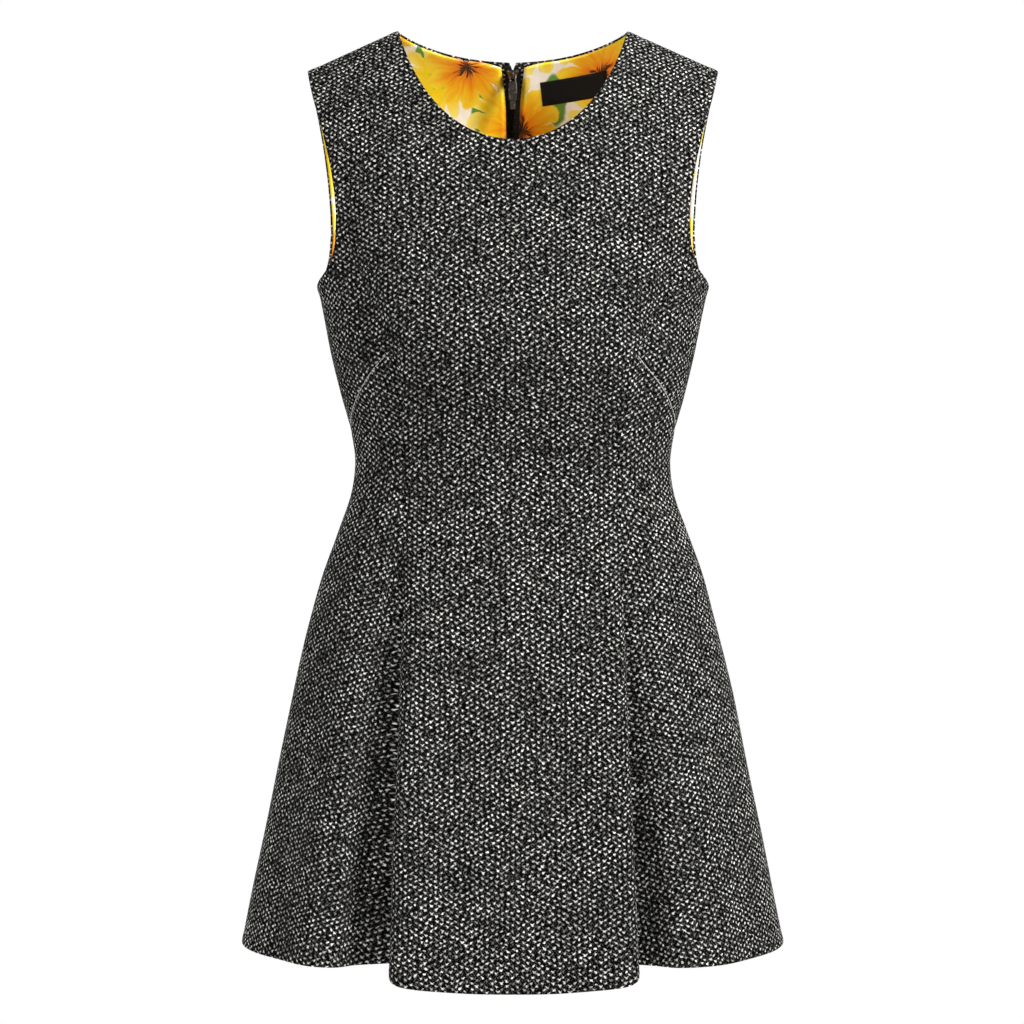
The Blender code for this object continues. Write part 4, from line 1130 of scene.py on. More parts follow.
@dataclass(frozen=True)
class PrintFinish(Finish):
    """Silk twill, screen printed with simple blooms and leaves, and lightly glossy.

    To the eye it is a bright, smooth cloth: yellow and orange petals on white, some green.
    """

    name: str = "floral_silk_printed"
    ground: str = "#fffdf8"
    leaf: str = "#5f9a3a"
    leaf_pitch: float = 46.0
    roughness: float = 0.42
    twill_pitch: float = 0.9
    twill_slant: float = 30.0
    wander: float = 4.5
    wander_pitch: float = 18.0
    blooms: tuple[Bloom, ...] = (
        Bloom(70.0, (11.0, 31.0), 12, 0.60, "#b4cc20", "#f6de00", "#ffde00", "#fff07a"),
        Bloom(92.0, (52.0, 8.0), 10, 0.46, "#3a1e08", "#f58200", "#ffb600", "#ffe030"),
    )

    def surface(self, put: Put) -> dict:
        """The print, laid out in millimetres of the flat cut."""
        plain = cut_place(put)
        plan = wandering(put, plain, self.wander_pitch, 2 * self.wander)

        leaves = put("VectorMath:MULTIPLY", plan, (1 / self.leaf_pitch, 0.45 / self.leaf_pitch, 0.0))
        leaves = put("TexVoronoi:2D", leaves, Scale=1.0, Randomness=1.0)
        leaves = put("MapRange:SMOOTHSTEP", leaves, 0.27, 0.22, 0.0, 1.0)
        colour = put("Mix:RGBA", leaves, linear(self.ground), linear(self.leaf))

        for bloom in self.blooms:
            moved = put("VectorMath:ADD", plan, (*bloom.offset, 0.0))
            moved = put("VectorMath:SCALE", moved, Scale=1 / bloom.pitch)
            spots = put("TexVoronoi:2D", moved, Scale=1.0, Randomness=0.75)
            local = put("VectorMath:SUBTRACT", moved, spots.outputs["Position"])
            reach = put("VectorMath:LENGTH", local)
            parts = put("SeparateXYZ", local)
            angle = put("Math:ARCTAN2", parts.outputs[1], parts.outputs[0])
            spin = put("SeparateColor", spots.outputs["Color"])
            angle = put("Math:MULTIPLY_ADD", spin.outputs[0], 6.0, angle)
            petal = put("Math:ABSOLUTE", put("Math:COSINE", put("Math:MULTIPLY", angle, bloom.petals / 2)))
            rim = put("MapRange", put("Math:POWER", petal, 0.45), 0.0, 1.0, 0.5 * bloom.reach, bloom.reach)
            share = put("Math:DIVIDE", reach.outputs["Value"], rim)
            mask = put("MapRange:SMOOTHSTEP", share, 1.0, 0.94, 0.0, 1.0)
            polar = put("VectorMath:MULTIPLY", put("CombineXYZ", angle, share), (4.5, 1.4, 1.0))
            streak = put("TexNoise:2D", polar, Scale=1.0, Detail=3.0)
            streak = put("MapRange", streak, 0.3, 0.7, -0.16, 0.16)
            shade = put("Math:ADD", share, streak)
            valley = put("MapRange", petal, 0.0, 0.55, -0.22, 0.0)
            shade = put("Math:ADD", shade, valley)
            ramp = put("ValToRGB", shade)
            steps = (0.13, 0.22, 0.55, 0.95)
            codes = (bloom.centre, bloom.heart, bloom.petal, bloom.tip)
            stops = ramp.color_ramp.elements
            while len(stops) < len(steps):
                stops.new(0.5)
            for stop, place, code in zip(stops, steps, codes):
                stop.position = place
                stop.color = linear(code)
            colour = put("Mix:RGBA", mask, colour, ramp)

        twill = ribs(put, plain, self.twill_slant, self.twill_pitch)
        bump = put("Bump", Strength=0.12, Distance=0.0002, Height=twill)
        return {"Base_Color": colour, "Roughness": self.roughness, "Sheen_Weight": 0.12, "Normal": bump}


@dataclass(frozen=True)
class RibbonFinish(Finish):
    """Polyester ribbon, woven in fine ribs: zip tape with a dull face, or a satin label."""

    name: str
    colour: str = "#070708"
    thread: str = "#202022"
    rib_pitch: float = 0.9
    slant: float = 45.0
    roughness: float = 0.75

    def surface(self, put: Put) -> dict:
        """Ribs on one slant as a sine of the flat cut, lighter on their crests."""
        plain = cut_place(put)
        axes = put("SeparateXYZ", plain)
        sides = put("CombineXYZ", put("Math:ABSOLUTE", axes.outputs[0]), axes.outputs[1])
        rib = ribs(put, sides, self.slant, self.rib_pitch)
        crest = put("MapRange", rib, -1.0, 1.0, 0.0, 1.0)
        fuzz = put("TexNoise:2D", plain, Scale=2.0, Detail=2.0)
        crest = put("Math:MULTIPLY", crest, fuzz)
        colour = put("Mix:RGBA", crest, linear(self.colour), linear(self.thread))
        bump = put("Bump", Strength=0.4, Distance=0.0002, Height=rib)
        return {"Base_Color": colour, "Roughness": self.roughness, "Specular_IOR_Level": 0.15, "Normal": bump}


@dataclass(frozen=True)
class MetalFinish(Finish):
    """Zinc alloy, die cast and plated in black nickel, tumbled: dark and softly bright."""

    name: str = "gunmetal_plated_zinc"
    dark: str = "#645d5a"
    # The lighter colour is partly worn plating and partly a painted highlight in the colour of glints
    wear_and_highlight: str = "#a09893"
    grain: float = 0.8
    roughness: float = 0.34

    def surface(self, put: Put) -> dict:
        """The plating, lighter in small spots that are partly wear and partly painted highlights."""
        plain = put("VectorMath:SCALE", put("TexCoord").outputs["Object"], Scale=1 / MM)
        spots = put("TexNoise", plain, Scale=1 / self.grain, Detail=3.0)
        # Lighter spots from a slow noise: partly wear, partly painted highlights
        wear_and_highlight = put("MapRange", spots, 0.5, 0.75, 0.0, 1.0)
        colour = put("Mix:RGBA", wear_and_highlight, linear(self.dark), linear(self.wear_and_highlight))
        rough = put("MapRange", spots, 0.3, 0.7, self.roughness - 0.08, self.roughness + 0.1)
        bump = put("Bump", Strength=0.2, Distance=0.0001, Height=spots)
        return {"Base_Color": colour, "Roughness": rough, "Metallic": 1.0, "Normal": bump}


@dataclass(frozen=True)
class PaintFinish(Finish):
    """Matt wall paint on the studio's floor: flat and pale."""

    name: str = "studio_floor_painted"
    colour: str = "#f4f4f4"
    roughness: float = 0.9

    def surface(self, put: Put) -> dict:
        """One even colour."""
        return {"Base_Color": linear(self.colour), "Roughness": self.roughness}


@dataclass(frozen=True)
class ThreadFinish(Finish):
    """Twisted sewing or edging yarn: matt, with the slant of its twist."""

    name: str
    colour: str
    shade: str
    twist_pitch: float = 0.8

    def surface(self, put: Put) -> dict:
        """The twist, as a sine across the place."""
        plain = put("VectorMath:SCALE", put("TexCoord").outputs["Object"], Scale=1 / MM)
        phase = put("VectorMath:DOT_PRODUCT", plain, (0.7, 0.2, 1.0))
        phase = put("Math:MULTIPLY", phase.outputs["Value"], 2 * math.pi / self.twist_pitch)
        twist = put("Math:SINE", phase)
        share = put("MapRange", twist, -1.0, 1.0, 0.0, 1.0)
        colour = put("Mix:RGBA", share, linear(self.shade), linear(self.colour))
        return {"Base_Color": colour, "Roughness": 0.8, "Sheen_Weight": 0.1}


@dataclass(frozen=True)
class Finishes:
    """Every finish of the dress, made once."""

    tweed: Material
    lining: Material
    tape: Material
    label: Material
    metal: Material
    teeth: Material
    white_yarn: Material

    @classmethod
    def made(cls) -> "Finishes":
        """Make them."""
        return cls(
            tweed=TweedFinish().material(),
            lining=PrintFinish().material(),
            tape=RibbonFinish("zip_tape_woven").material(),
            label=RibbonFinish("label_satin_woven", "#070708", "#131315", 0.7, 0.0, 0.5).material(),
            metal=MetalFinish().material(),
            teeth=MetalFinish("black_enamelled_brass", "#111112", "#3c3a38", 1.4, 0.4).material(),
            white_yarn=ThreadFinish("white_yarn_twisted", "#efece4", "#b9b6ae").material(),
        )


# == the panels


@dataclass(frozen=True)
class FlatCut:
    """The flat size of a piece of cloth, in metres, and the area of its outline."""

    width: float
    length: float
    area: float

    @classmethod
    def strip(cls, width: float, length: float, shown: float) -> "FlatCut":
        """A ribbon by its woven width, its length and the width that shows, in millimetres."""
        return cls(width * MM, length * MM, shown * length * MM * MM)

    @classmethod
    def of(cls, cloths: list[Cloth]) -> "FlatCut":
        """Measured on the cut laid flat: its reach both ways, and the area of the cloth."""
        plan = np.concatenate([cloth.plan.reshape(-1, 2) for cloth in cloths])
        width, length = np.ptp(plan, axis=0) * MM
        area = 0.0
        for cloth in cloths:
            down = cloth.points[1:, :-1] - cloth.points[:-1, :-1]
            across = cloth.points[:-1, 1:] - cloth.points[:-1, :-1]
            area += float(np.sum(np.linalg.norm(np.cross(down, across), axis=-1)))
        return cls(float(width), float(length), min(area, float(width * length)))


def dress_cloth(piece: bpy.types.Object, node: str, flat: FlatCut) -> None:
    """Attach a sewn piece to the dress's body, hide the node it stands for and log its flat cut."""
    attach(piece, "dress")
    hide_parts(node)
    LOG.info(
        "%s: %d points, flat %.0f x %.0f mm, %.4f m2",
        piece.name, len(piece.data.vertices), flat.width / MM, flat.length / MM, flat.area,
    )


@dataclass
class TweedPanels:
    """The nine tweed panels of the front and back."""

    finishes: Finishes
    block: Block
    cut: WallCut = field(default_factory=WallCut)

    def neck_end(self) -> int:
        """Number of the row that starts at the bottom of the neckline."""
        return self.block.neck_rows * self.block.steps.fine

    def yoke_end(self, face: Face) -> int:
        """Number of the row that ends at the foot of the armhole part."""
        rows = self.block.front_yoke_rows if face is Face.FRONT else self.block.back_yoke_rows
        return self.neck_end() + len(self.block.steps.shares(rows, first=True)) - 1

    def centre_runs(self, face: Face, zip_side: bool) -> tuple[EdgeRun, ...]:
        """Edges of a centre panel: shoulder, neck, armhole, skirt seam, hem and zip edge."""
        neck, yoke = self.neck_end(), self.yoke_end(face)
        zip_edge = (EdgeRun(EdgeKind.SEAM, slice(neck, None), FIRST),) if zip_side else ()
        return (
            EdgeRun(EdgeKind.SEAM, FIRST, EVERY),
            *folded_runs((slice(0, neck + 1), FIRST), (slice(0, yoke + 1), LAST)),
            EdgeRun(EdgeKind.SEAM, slice(yoke, None), LAST),
            EdgeRun(EdgeKind.FOLDED, LAST, EVERY),
            *zip_edge,
        )

    @staticmethod
    def side_runs(top: EdgeKind, bottom: EdgeKind) -> tuple[EdgeRun, ...]:
        """Edges of a side panel: its two seams, its top and its bottom."""
        seams = (EdgeRun(EdgeKind.SEAM, EVERY, FIRST), EdgeRun(EdgeKind.SEAM, EVERY, LAST))
        return (EdgeRun(top, FIRST, EVERY), EdgeRun(bottom, LAST, EVERY), *seams)

    def make(self, node: str, stretches: list[Stretch], lined: bool) -> None:
        materials = [self.finishes.tweed, self.finishes.lining]
        piece = wall_of(node + "_tweed", stretches, self.cut, materials, lined)
        dress_cloth(piece, node, FlatCut.of([stretch.cloth for stretch in stretches]))

    def build(self) -> None:
        """Build every panel, the centre front first."""
        runs = self.centre_runs(Face.FRONT, False)
        below_neck = slice(self.neck_end(), None)
        halves = [
            Stretch(self.block.front_centre(Side.LEFT), Face.FRONT, runs),
            Stretch(self.block.front_centre(Side.RIGHT), Face.FRONT, runs, (below_neck, below_neck, 0)),
        ]
        self.make("front_centre", halves, True)
        block, seam, folded = self.block, EdgeKind.SEAM, EdgeKind.FOLDED
        for side in Side:
            word = side.name.lower()
            underarm, back_centre = f"front_underarm_{word}", f"back_centre_{word}"
            for node, cloth, face, runs, rests_on in (
                (underarm, block.front_underarm(side), Face.FRONT, self.side_runs(folded, seam), []),
                (f"front_side_{word}", block.front_side(side), Face.FRONT, self.side_runs(seam, folded), [underarm]),
                (back_centre, block.back_centre(side), Face.BACK, self.centre_runs(Face.BACK, True), []),
                (f"back_side_{word}", block.back_side(side), Face.BACK, self.side_runs(folded, folded), [underarm]),
            ):
                self.make(node, [Stretch(cloth, face, runs)], face is Face.FRONT)


# == the lining


@dataclass
class BackLining:
    """The printed lining inside the back bodice, two halves with their free edges drawn in."""

    finishes: Finishes
    rows: int = 7
    edge_turn: float = 1.0
    armhole_turn: float = 0.4
    gap: float = 0.3
    finer: int = 5
    tape: "ZipTape | None" = None
    cut: WallCut = field(default_factory=lambda: WallCut(
        thickness=1.0, depth=2.7, seam_round=0.45, fold_round=0.5, trough=0.0, turn_rise=0.0))

    @staticmethod
    def drawn_in(cloth: Cloth, edge: tuple, inner: tuple, amount: Array | float) -> None:
        """Move an edge of a stretch inwards by millimetres square to it, along the cloth.

        Args:
            cloth: the whole stretch, changed in place.
            edge: the index of the edge in its grids.
            inner: the index of the line next to it.
            amount: how far each point of the edge moves.
        """
        step = cloth.points[inner] - cloth.points[edge]
        way = np.cross(cloth.normals[edge], np.gradient(cloth.points[edge], axis=0))
        way = unit(way * np.sign(np.sum(way * step, axis=-1, keepdims=True)))
        share = np.reshape(amount, (-1, 1)) * MM / np.sum(step * way, axis=-1, keepdims=True)
        for grid in cloth.grids:
            grid[edge] += (grid[inner] - grid[edge]) * share

    def half(self, side: Side) -> list[Stretch]:
        """The centre and the flank of one half, refined from the plain solid's rows."""
        block = Block(Steps())
        neck, corner = block.neck_rows, block.neck_rows + block.back_yoke_rows
        whole = block.back_centre(side).part(slice(0, corner + self.rows + 1))
        centre = whole.part(EVERY)
        rows = np.arange(len(whole.points))
        self.drawn_in(centre, np.s_[0], np.s_[1], self.gap)
        self.drawn_in(centre, np.s_[:, 0], np.s_[:, 1], np.where(rows < neck, self.edge_turn, 0.0))
        self.drawn_in(centre, np.s_[:, -1], np.s_[:, -2], np.where(rows < corner, self.armhole_turn, 0.0))
        widths = self.tape.half_width(whole.points[:, 0, 2] / MM) + self.gap
        reach = (widths * MM / np.abs(whole.points[:, 1, 0] - whole.points[:, 0, 0]))[:, None]
        turn = self.edge_turn * MM
        drop = np.where(rows == neck, turn / np.linalg.norm(whole.points[neck + 1, 0] - whole.points[neck, 0]), 0.0)
        below = np.minimum(rows + 1, rows[-1])
        flank = block.back_side(side).part(slice(0, self.rows + 1))
        turned = flank.part(EVERY)
        self.drawn_in(turned, np.s_[0], np.s_[1], self.edge_turn)
        self.drawn_in(turned, np.s_[:, -1], np.s_[:, -2], self.gap / 2)
        fall = turn / np.linalg.norm(flank.points[1, 0] - flank.points[0, 0])
        for old, new, beside, aside in zip(whole.grids, centre.grids, flank.grids, turned.grids):
            moved = old[:, 0] + (old[below, 0] - old[:, 0]) * drop[:, None] + (old[:, 1] - old[:, 0]) * reach
            new[neck:, 0] = moved[neck:]
            aside[0, 0] = beside[0, 0] + (beside[1, 0] - beside[0, 0]) * fall
            new[corner, -1] = old[corner, -1] + (old[corner + 1, -1] - old[corner, -1]) * fall
        columns = np.linspace(0, block.columns, block.columns * self.finer + 1)

        def steps(first: int, last: int) -> Array:
            """Row numbers from the first to the last, on the finer grid."""
            return np.linspace(0, last - first, (last - first) * self.finer + 1)

        bands = [
            centre.part(slice(first, last + 1)).read(steps(first, last), columns)
            for first, last in ((0, neck), (neck, corner), (corner, corner + self.rows))
        ]
        joined = Cloth(*(
            np.concatenate([top, *(grid[1:] for grid in others)])
            for top, *others in zip(*(band.grids for band in bands))
        ))
        flank_fine = turned.read(steps(0, self.rows), columns)
        seam = corner * self.finer
        flank_fine.points[:, 0] = joined.points[seam:, -1]
        flank_fine.normals[:, 0] = joined.normals[seam:, -1]
        centre_runs = folded_runs((FIRST, EVERY), (EVERY, FIRST), (slice(0, seam + 1), LAST), (LAST, EVERY))
        flank_runs = folded_runs((FIRST, EVERY), (EVERY, LAST), (LAST, EVERY))
        return [
            Stretch(joined, Face.BACK, centre_runs),
            Stretch(flank_fine, Face.BACK, flank_runs, (EVERY, slice(seam, None), -1)),
        ]

    def build(self) -> None:
        """Both halves."""
        for side in Side:
            word = side.name.lower()
            stretches = self.half(side)
            piece = wall_of(f"lining_back_{word}_silk", stretches, self.cut, [self.finishes.lining])
            flat = FlatCut.of([stretch.cloth for stretch in stretches])
            dress_cloth(piece, f"lining_back_{word}", flat)


# == small hard shapes


def lofted(rings: Array) -> Shape:
    """A closed skin over rings of equal length, with a fan of triangles at each end.

    Args:
        rings: one row of points for each ring.

    Returns:
        The points, and the faces that face outwards for rings that run to the left along
        the way they are stacked.
    """
    count, size = rings.shape[:2]
    index = np.arange(count * size).reshape(count, size)
    around = np.roll(index, -1, axis=1)
    sides = np.stack([index[:-1], around[:-1], around[1:], index[1:]], axis=-1).reshape(-1, 4)
    ends = rings[[0, -1]].mean(axis=1)
    start = np.stack([around[0], index[0], np.full(size, count * size)], axis=-1)
    finish = np.stack([index[-1], around[-1], np.full(size, count * size + 1)], axis=-1)
    return np.concatenate([rings.reshape(-1, 3), ends]), [sides, np.concatenate([start, finish])]


def repeated(points: Array, faces: list[Array], frames: Array, places: Array) -> Shape:
    """Copies of a small shape: each point times a frame's three axes, plus its place."""
    copies = np.einsum("pk,nkj->npj", points, frames) + places[:, None]
    starts = (np.arange(len(places)) * len(points))[:, None, None]
    return copies.reshape(-1, 3), [(block + starts).reshape(-1, block.shape[1]) for block in faces]


def capsule(length: float, radius: float, sides: int = 8) -> Shape:
    """A rounded bar along its first axis: rings whose radius is a squared-off half sine."""
    share = np.array([0.0, 0.06, 0.2, 0.5, 0.8, 0.94, 1.0])
    wide = radius * np.maximum(1 - (2 * share - 1) ** 6, 0.06) ** 0.5
    rings = circle(sides) * wide[:, None, None]
    rings[..., 0] += ((share - 0.5) * length)[:, None]
    return lofted(rings)


def circle(count: int) -> Array:
    """Points round a unit circle, square to the first axis."""
    turn = np.linspace(0.0, 2 * math.pi, count + 1)[:-1]
    return np.stack([0 * turn, np.cos(turn), np.sin(turn)], axis=-1)


def mirrored(half: list[tuple[float, float]]) -> Array:
    """A loop from its right half, which runs back mirrored in X."""
    return np.array(half + [(-x, y) for x, y in reversed(half)])


def small_piece(name: str, shape: Shape, material: Material, body: str = "dress",
                node: str | None = None) -> None:
    """Args:
        name: the piece's name.
        shape: its points in millimetres and its faces.
        material: its finish.
        body: the body that it rides.
        node: the node that it stands for, if any.
    """
    piece = mesh_object(name, shape[0] * MM, shape[1], None, [material])
    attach(piece, body)
    if node is not None:
        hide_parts(node)
    LOG.info("%s: %d points", name, len(piece.data.vertices))


# == the zip


@dataclass(frozen=True)
class ZipTape:
    """The two tapes inside the centre back, in millimetres."""

    top: float = -2.2
    end: float = -478.0
    wide: float = 7.4
    narrow: float = 5.4
    narrows_by: float = -80.0
    middle: float = 0.2
    woven_width: float = 12.5
    rows: int = 160
    cut: WallCut = WallCut(thickness=0.8, depth=2.7, fold_round=0.35, trough=0.0, turn_rise=0.0)

    def half_width(self, height: Array) -> Array:
        """Half width that shows between the lining's edges."""
        return self.wide + (self.narrow - self.wide) * np.clip(height / self.narrows_by, 0.0, 1.0)

    def build(self, finishes: Finishes, block: Block) -> None:
        """Both tapes, each a strip from the middle to its half width."""
        heights = np.linspace(self.top, self.end, self.rows + 1)[:, None]
        shares = np.array([0.0, 0.03, 0.1, 0.25, 0.5, 0.75, 0.9, 0.97, 1.0])[None, :]
        x = self.middle + (self.half_width(heights) - self.middle) * shares
        level = heights + 0 * x
        flat = FlatCut.strip(self.woven_width, self.top - self.end, (self.wide + self.narrow) / 2)
        for side in Side:
            word = side.name.lower()
            cloth = block.laid_out(FORM.angle_at(x, level), level, Face.BACK, side, False)
            cloth = replace(cloth, plan=np.stack([side * x, level], axis=-1))
            stretch = Stretch(cloth, Face.BACK, RIBBON_EDGES)
            piece = wall_of(f"zip_tape_{word}_woven", [stretch], self.cut, [finishes.tape])
            dress_cloth(piece, f"zip_tape_{word}", flat)


@dataclass(frozen=True)
class ZipMetal:
    """Teeth, slider and pull tab, in millimetres."""

    seat_depth: float = 3.8
    chain_end: float = -477.7
    chain_half_width: float = 2.1
    chain_height: float = 2.0
    tooth_pitch: float = 1.4
    tooth_length: float = 3.1
    slider_middle: float = -8.8
    slider_length: float = 7.4
    head_half_width: float = 5.4
    waist_half_width: float = 4.0
    foot_half_width: float = 3.9
    slider_height: float = 3.6
    plate: float = 1.05
    groove: float = 1.5
    bail_half_length: float = 2.9
    bail_inner_height: float = 2.6
    bail_half_width: float = 0.85
    bail_radius: float = 0.42
    tab_thickness: float = 1.4
    crossbar: float = 1.1
    window_half_width: float = 1.9
    window_length: float = 5.4
    tab_head_half_width: float = 3.0
    tab_head_length: float = 8.0
    tab_half_width: float = 3.7
    tab_body_length: float = 15.0
    tab_foot_half_width: float = 2.5
    tab_foot_length: float = 8.5
    tab_rim: float = 1.15
    tab_rim_head: float = 0.9
    tab_rim_foot: float = 1.3
    gap: float = 0.3

    def centre_frames(self, heights: Array) -> tuple[Array, Array]:
        """Frames down the centre back, X across, Y up the tape and Z into the dress.

        Returns:
            The axes and the places on the zip's seat.
        """
        zero = np.zeros_like(heights)
        ends = [FORM.folded(zero, heights + step, Face.BACK, Side.RIGHT) for step in (-1.0, 0.0, 1.0)]
        for row in ends:
            row[:, 0] = 0.0
        up = unit(ends[2] - ends[0])
        across = np.zeros_like(up)
        across[:, 0] = 1.0
        inward = np.cross(across, up)
        return np.stack([across, up, inward], axis=1), ends[1] + inward * self.seat_depth

    def slider_frame(self) -> tuple[Array, Array]:
        """The slider's axes and place, on the solid's flat facet between the panel's first two rows."""
        block = Block(Steps())
        rows = block.back_centre(Side.RIGHT).points[block.neck_rows:block.neck_rows + 2, 0] / MM
        rows[:, 0] = 0.0
        share = (rows[0, 2] - self.slider_middle) / (rows[0, 2] - rows[1, 2])
        across, up = np.array([1.0, 0.0, 0.0]), unit(rows[0] - rows[1])
        inward = np.cross(across, up)
        place = rows[0] + (rows[1] - rows[0]) * share + inward * self.seat_depth
        return np.stack([across, up, inward])[None], place[None]

    def chain(self, finishes: Finishes) -> None:
        """Closed teeth: rounded bars that reach in from the two tapes by turns."""
        start = self.slider_middle - self.slider_length / 2 - self.gap - self.tooth_pitch / 2
        heights = np.arange(start, self.chain_end + self.tooth_pitch / 2, -self.tooth_pitch)
        frames, places = self.centre_frames(heights)
        ring = circle(12)
        ring[:, 1:] = np.sign(ring[:, 1:]) * np.abs(ring[:, 1:]) ** 0.6
        share = np.array([0.0, 0.05, 0.2, 0.8, 0.95, 1.0])
        wide = np.array([0.72, 0.93, 1.0, 1.0, 0.93, 0.72])[:, None, None]
        rings = ring * wide * np.array([1.0, 0.46 * self.tooth_pitch, self.chain_height / 2])
        rings[..., 0] += ((share - 0.5) * self.tooth_length)[:, None]
        points, faces = lofted(rings)
        inset = self.chain_half_width - self.tooth_length / 2
        sides = np.where(np.arange(len(heights)) % 2 == 0, inset, -inset)[:, None]
        places = places + frames[:, 0] * sides + frames[:, 2] * self.chain_height / 2
        shape = repeated(points, faces, frames, places)
        small_piece("zip_chain_teeth", shape, finishes.teeth, node="zip_chain")

    def section(self, half_width: float) -> Array:
        """The slider's cross section: two plates and the web between them."""
        w, top, plate = half_width, self.slider_height, self.plate
        right = [
            (w - 0.3, 0.0), (w, 0.3), (w, plate - 0.2), (w - 0.2, plate), (w - self.groove, plate + 0.1),
            (w - self.groove, top - plate - 0.1), (w - 0.2, top - plate), (w, top - plate + 0.2),
            (w, top - 0.35), (w - 0.35, top),
        ]
        return mirrored(right)

    def slider(self, finishes: Finishes) -> None:
        """The slider's body as a loft from foot to head, and the bail as a flat bent wire."""
        half = self.slider_length / 2
        stations = np.array([-1.0, -0.96, -0.9, -0.84, -0.5, 0.0, 0.35, 0.65, 0.84, 0.9, 0.96, 1.0]) * half
        widths = np.interp(stations / half, [-1, -0.4, 0.1, 0.6, 1],
                           [self.foot_half_width, self.waist_half_width, 4.5, 5.3, self.head_half_width])
        shrink = np.array([0.68, 0.88, 0.965, 1, 1, 1, 1, 1, 1, 0.965, 0.88, 0.68])
        middle = self.slider_height / 2
        rings = []
        for y, width, share in zip(stations, widths, shrink):
            outline = self.section(width)
            x, z = outline[:, 0] * share, middle + (outline[:, 1] - middle) * share
            rings.append(np.stack([x, np.full_like(x, y), z], axis=-1))
        body, body_faces = lofted(np.array(rings)[:, ::-1])
        turn = np.linspace(0.0, math.pi, 41)
        top = self.slider_height + self.bail_inner_height + self.bail_radius
        foot = self.slider_height - 1.0
        arch = np.stack([
            0 * turn,
            -self.bail_half_length * np.sign(np.cos(turn)) * np.abs(np.cos(turn)) ** 0.45,
            foot + (top - foot) * np.sin(turn) ** 0.45,
        ], axis=-1)
        run = unit(np.gradient(arch, axis=0))
        out = np.stack([0 * turn, run[:, 2], -run[:, 1]], axis=-1)
        ring = np.linspace(0.0, 2 * math.pi, 17)[:-1]
        aside = self.bail_half_width * np.sign(np.cos(ring)) * np.abs(np.cos(ring)) ** 0.7
        rings = arch[:, None] + out[:, None] * (self.bail_radius * np.sin(ring))[None, :, None]
        rings[..., 0] += aside
        bail, bail_faces = lofted(rings)
        points = np.concatenate([body, bail])
        faces = [*body_faces, *(block + len(body) for block in bail_faces)]
        shape = repeated(points, faces, *self.slider_frame())
        small_piece("zip_slider_cast", shape, finishes.metal, node="zip_slider")

    def tab_loops(self) -> tuple[Array, Array]:
        """The pull tab's outline and its window, both leftwards round, from the crossbar down."""
        top = self.crossbar / 2
        head = top - self.tab_head_length
        body = head - self.tab_body_length
        foot = body - self.tab_foot_length
        right = [
            (self.tab_head_half_width - 0.5, top), (self.tab_head_half_width, top - 0.5),
            (self.tab_head_half_width, head + 0.7), (self.tab_half_width - 0.2, head + 0.1),
            (self.tab_half_width, head - 0.3), (self.tab_half_width, body + 0.3),
            (self.tab_half_width - 0.3, body), (self.tab_foot_half_width, body - 0.5),
            (self.tab_foot_half_width, foot + 0.6), (self.tab_foot_half_width - 0.6, foot),
        ]
        low = -top - self.window_length
        hole = [(self.window_half_width, -top), (self.window_half_width, low + 0.8),
                (self.window_half_width - 0.8, low)]
        return mirrored(right)[::-1], mirrored(hole)[::-1]

    @staticmethod
    def grown(loop: Array, amount: float) -> Array:
        """A leftward loop with its sides moved outwards: corners move along their mitres."""
        before = unit(loop - np.roll(loop, 1, axis=0))
        after = unit(np.roll(loop, -1, axis=0) - loop)
        mitre = np.stack([before[:, 1] + after[:, 1], -before[:, 0] - after[:, 0]], axis=-1)
        size = np.maximum(np.sum(mitre * mitre, axis=1), 0.6)
        return loop + mitre * (2 * amount / size)[:, None]

    def tab_bar(self, loops: tuple[Array, Array], depth: float, rounding: float) -> Shape:
        """A flat bar with a window, its edges rounded, between depths of plus and minus.

        Args:
            loops: the outline and the window, or the outline alone.
            depth: half the bar's thickness.
            rounding: the edges' radius.
        """
        turn = np.radians([0.0, 30.0, 60.0, 90.0])
        insets = rounding * (1 - np.cos(turn - math.pi / 2))
        levels = depth - rounding * (1 - np.sin(math.pi / 2 - turn))
        profile = [(inset, level) for inset, level in zip(insets[::-1], levels[::-1])]
        profile = [(inset, -level) for inset, level in reversed(profile)] + profile
        points, faces, count = [], [], 0
        rims = ([], [])
        for number, loop in enumerate(loops):
            way = -1.0 if number == 0 else 1.0
            for inset, level in profile:
                outline = self.grown(loop, way * inset)
                points.append(np.stack([outline[:, 0], np.full(len(loop), level), outline[:, 1]], axis=-1))
            index = count + np.arange(len(profile) * len(loop)).reshape(len(profile), len(loop))
            count += index.size
            around = np.roll(index, -1, axis=1)
            sides = np.stack([index[:-1], index[1:], around[1:], around[:-1]], axis=-1).reshape(-1, 4)
            faces.append(sides if number == 0 else sides[:, ::-1])
            rims[0].append(index[0])
            rims[1].append(index[-1])
        cloud = np.concatenate(points)
        caps = []
        for number, rim in enumerate(rims):
            order = np.concatenate(rim)
            loops_in = [[tuple(cloud[corner][[0, 2]]) + (0.0,) for corner in loop] for loop in rim]
            fill = order[np.array(tessellate_polygon(loops_in))]
            sides = cloud[fill[:, 1]] - cloud[fill[:, 0]], cloud[fill[:, 2]] - cloud[fill[:, 0]]
            facing = np.cross(*sides)[:, 1]
            wanted = -1.0 if number == 0 else 1.0
            caps.append(np.where((facing * wanted < 0)[:, None], fill[:, ::-1], fill))
        return cloud, [*faces, np.concatenate(caps)]

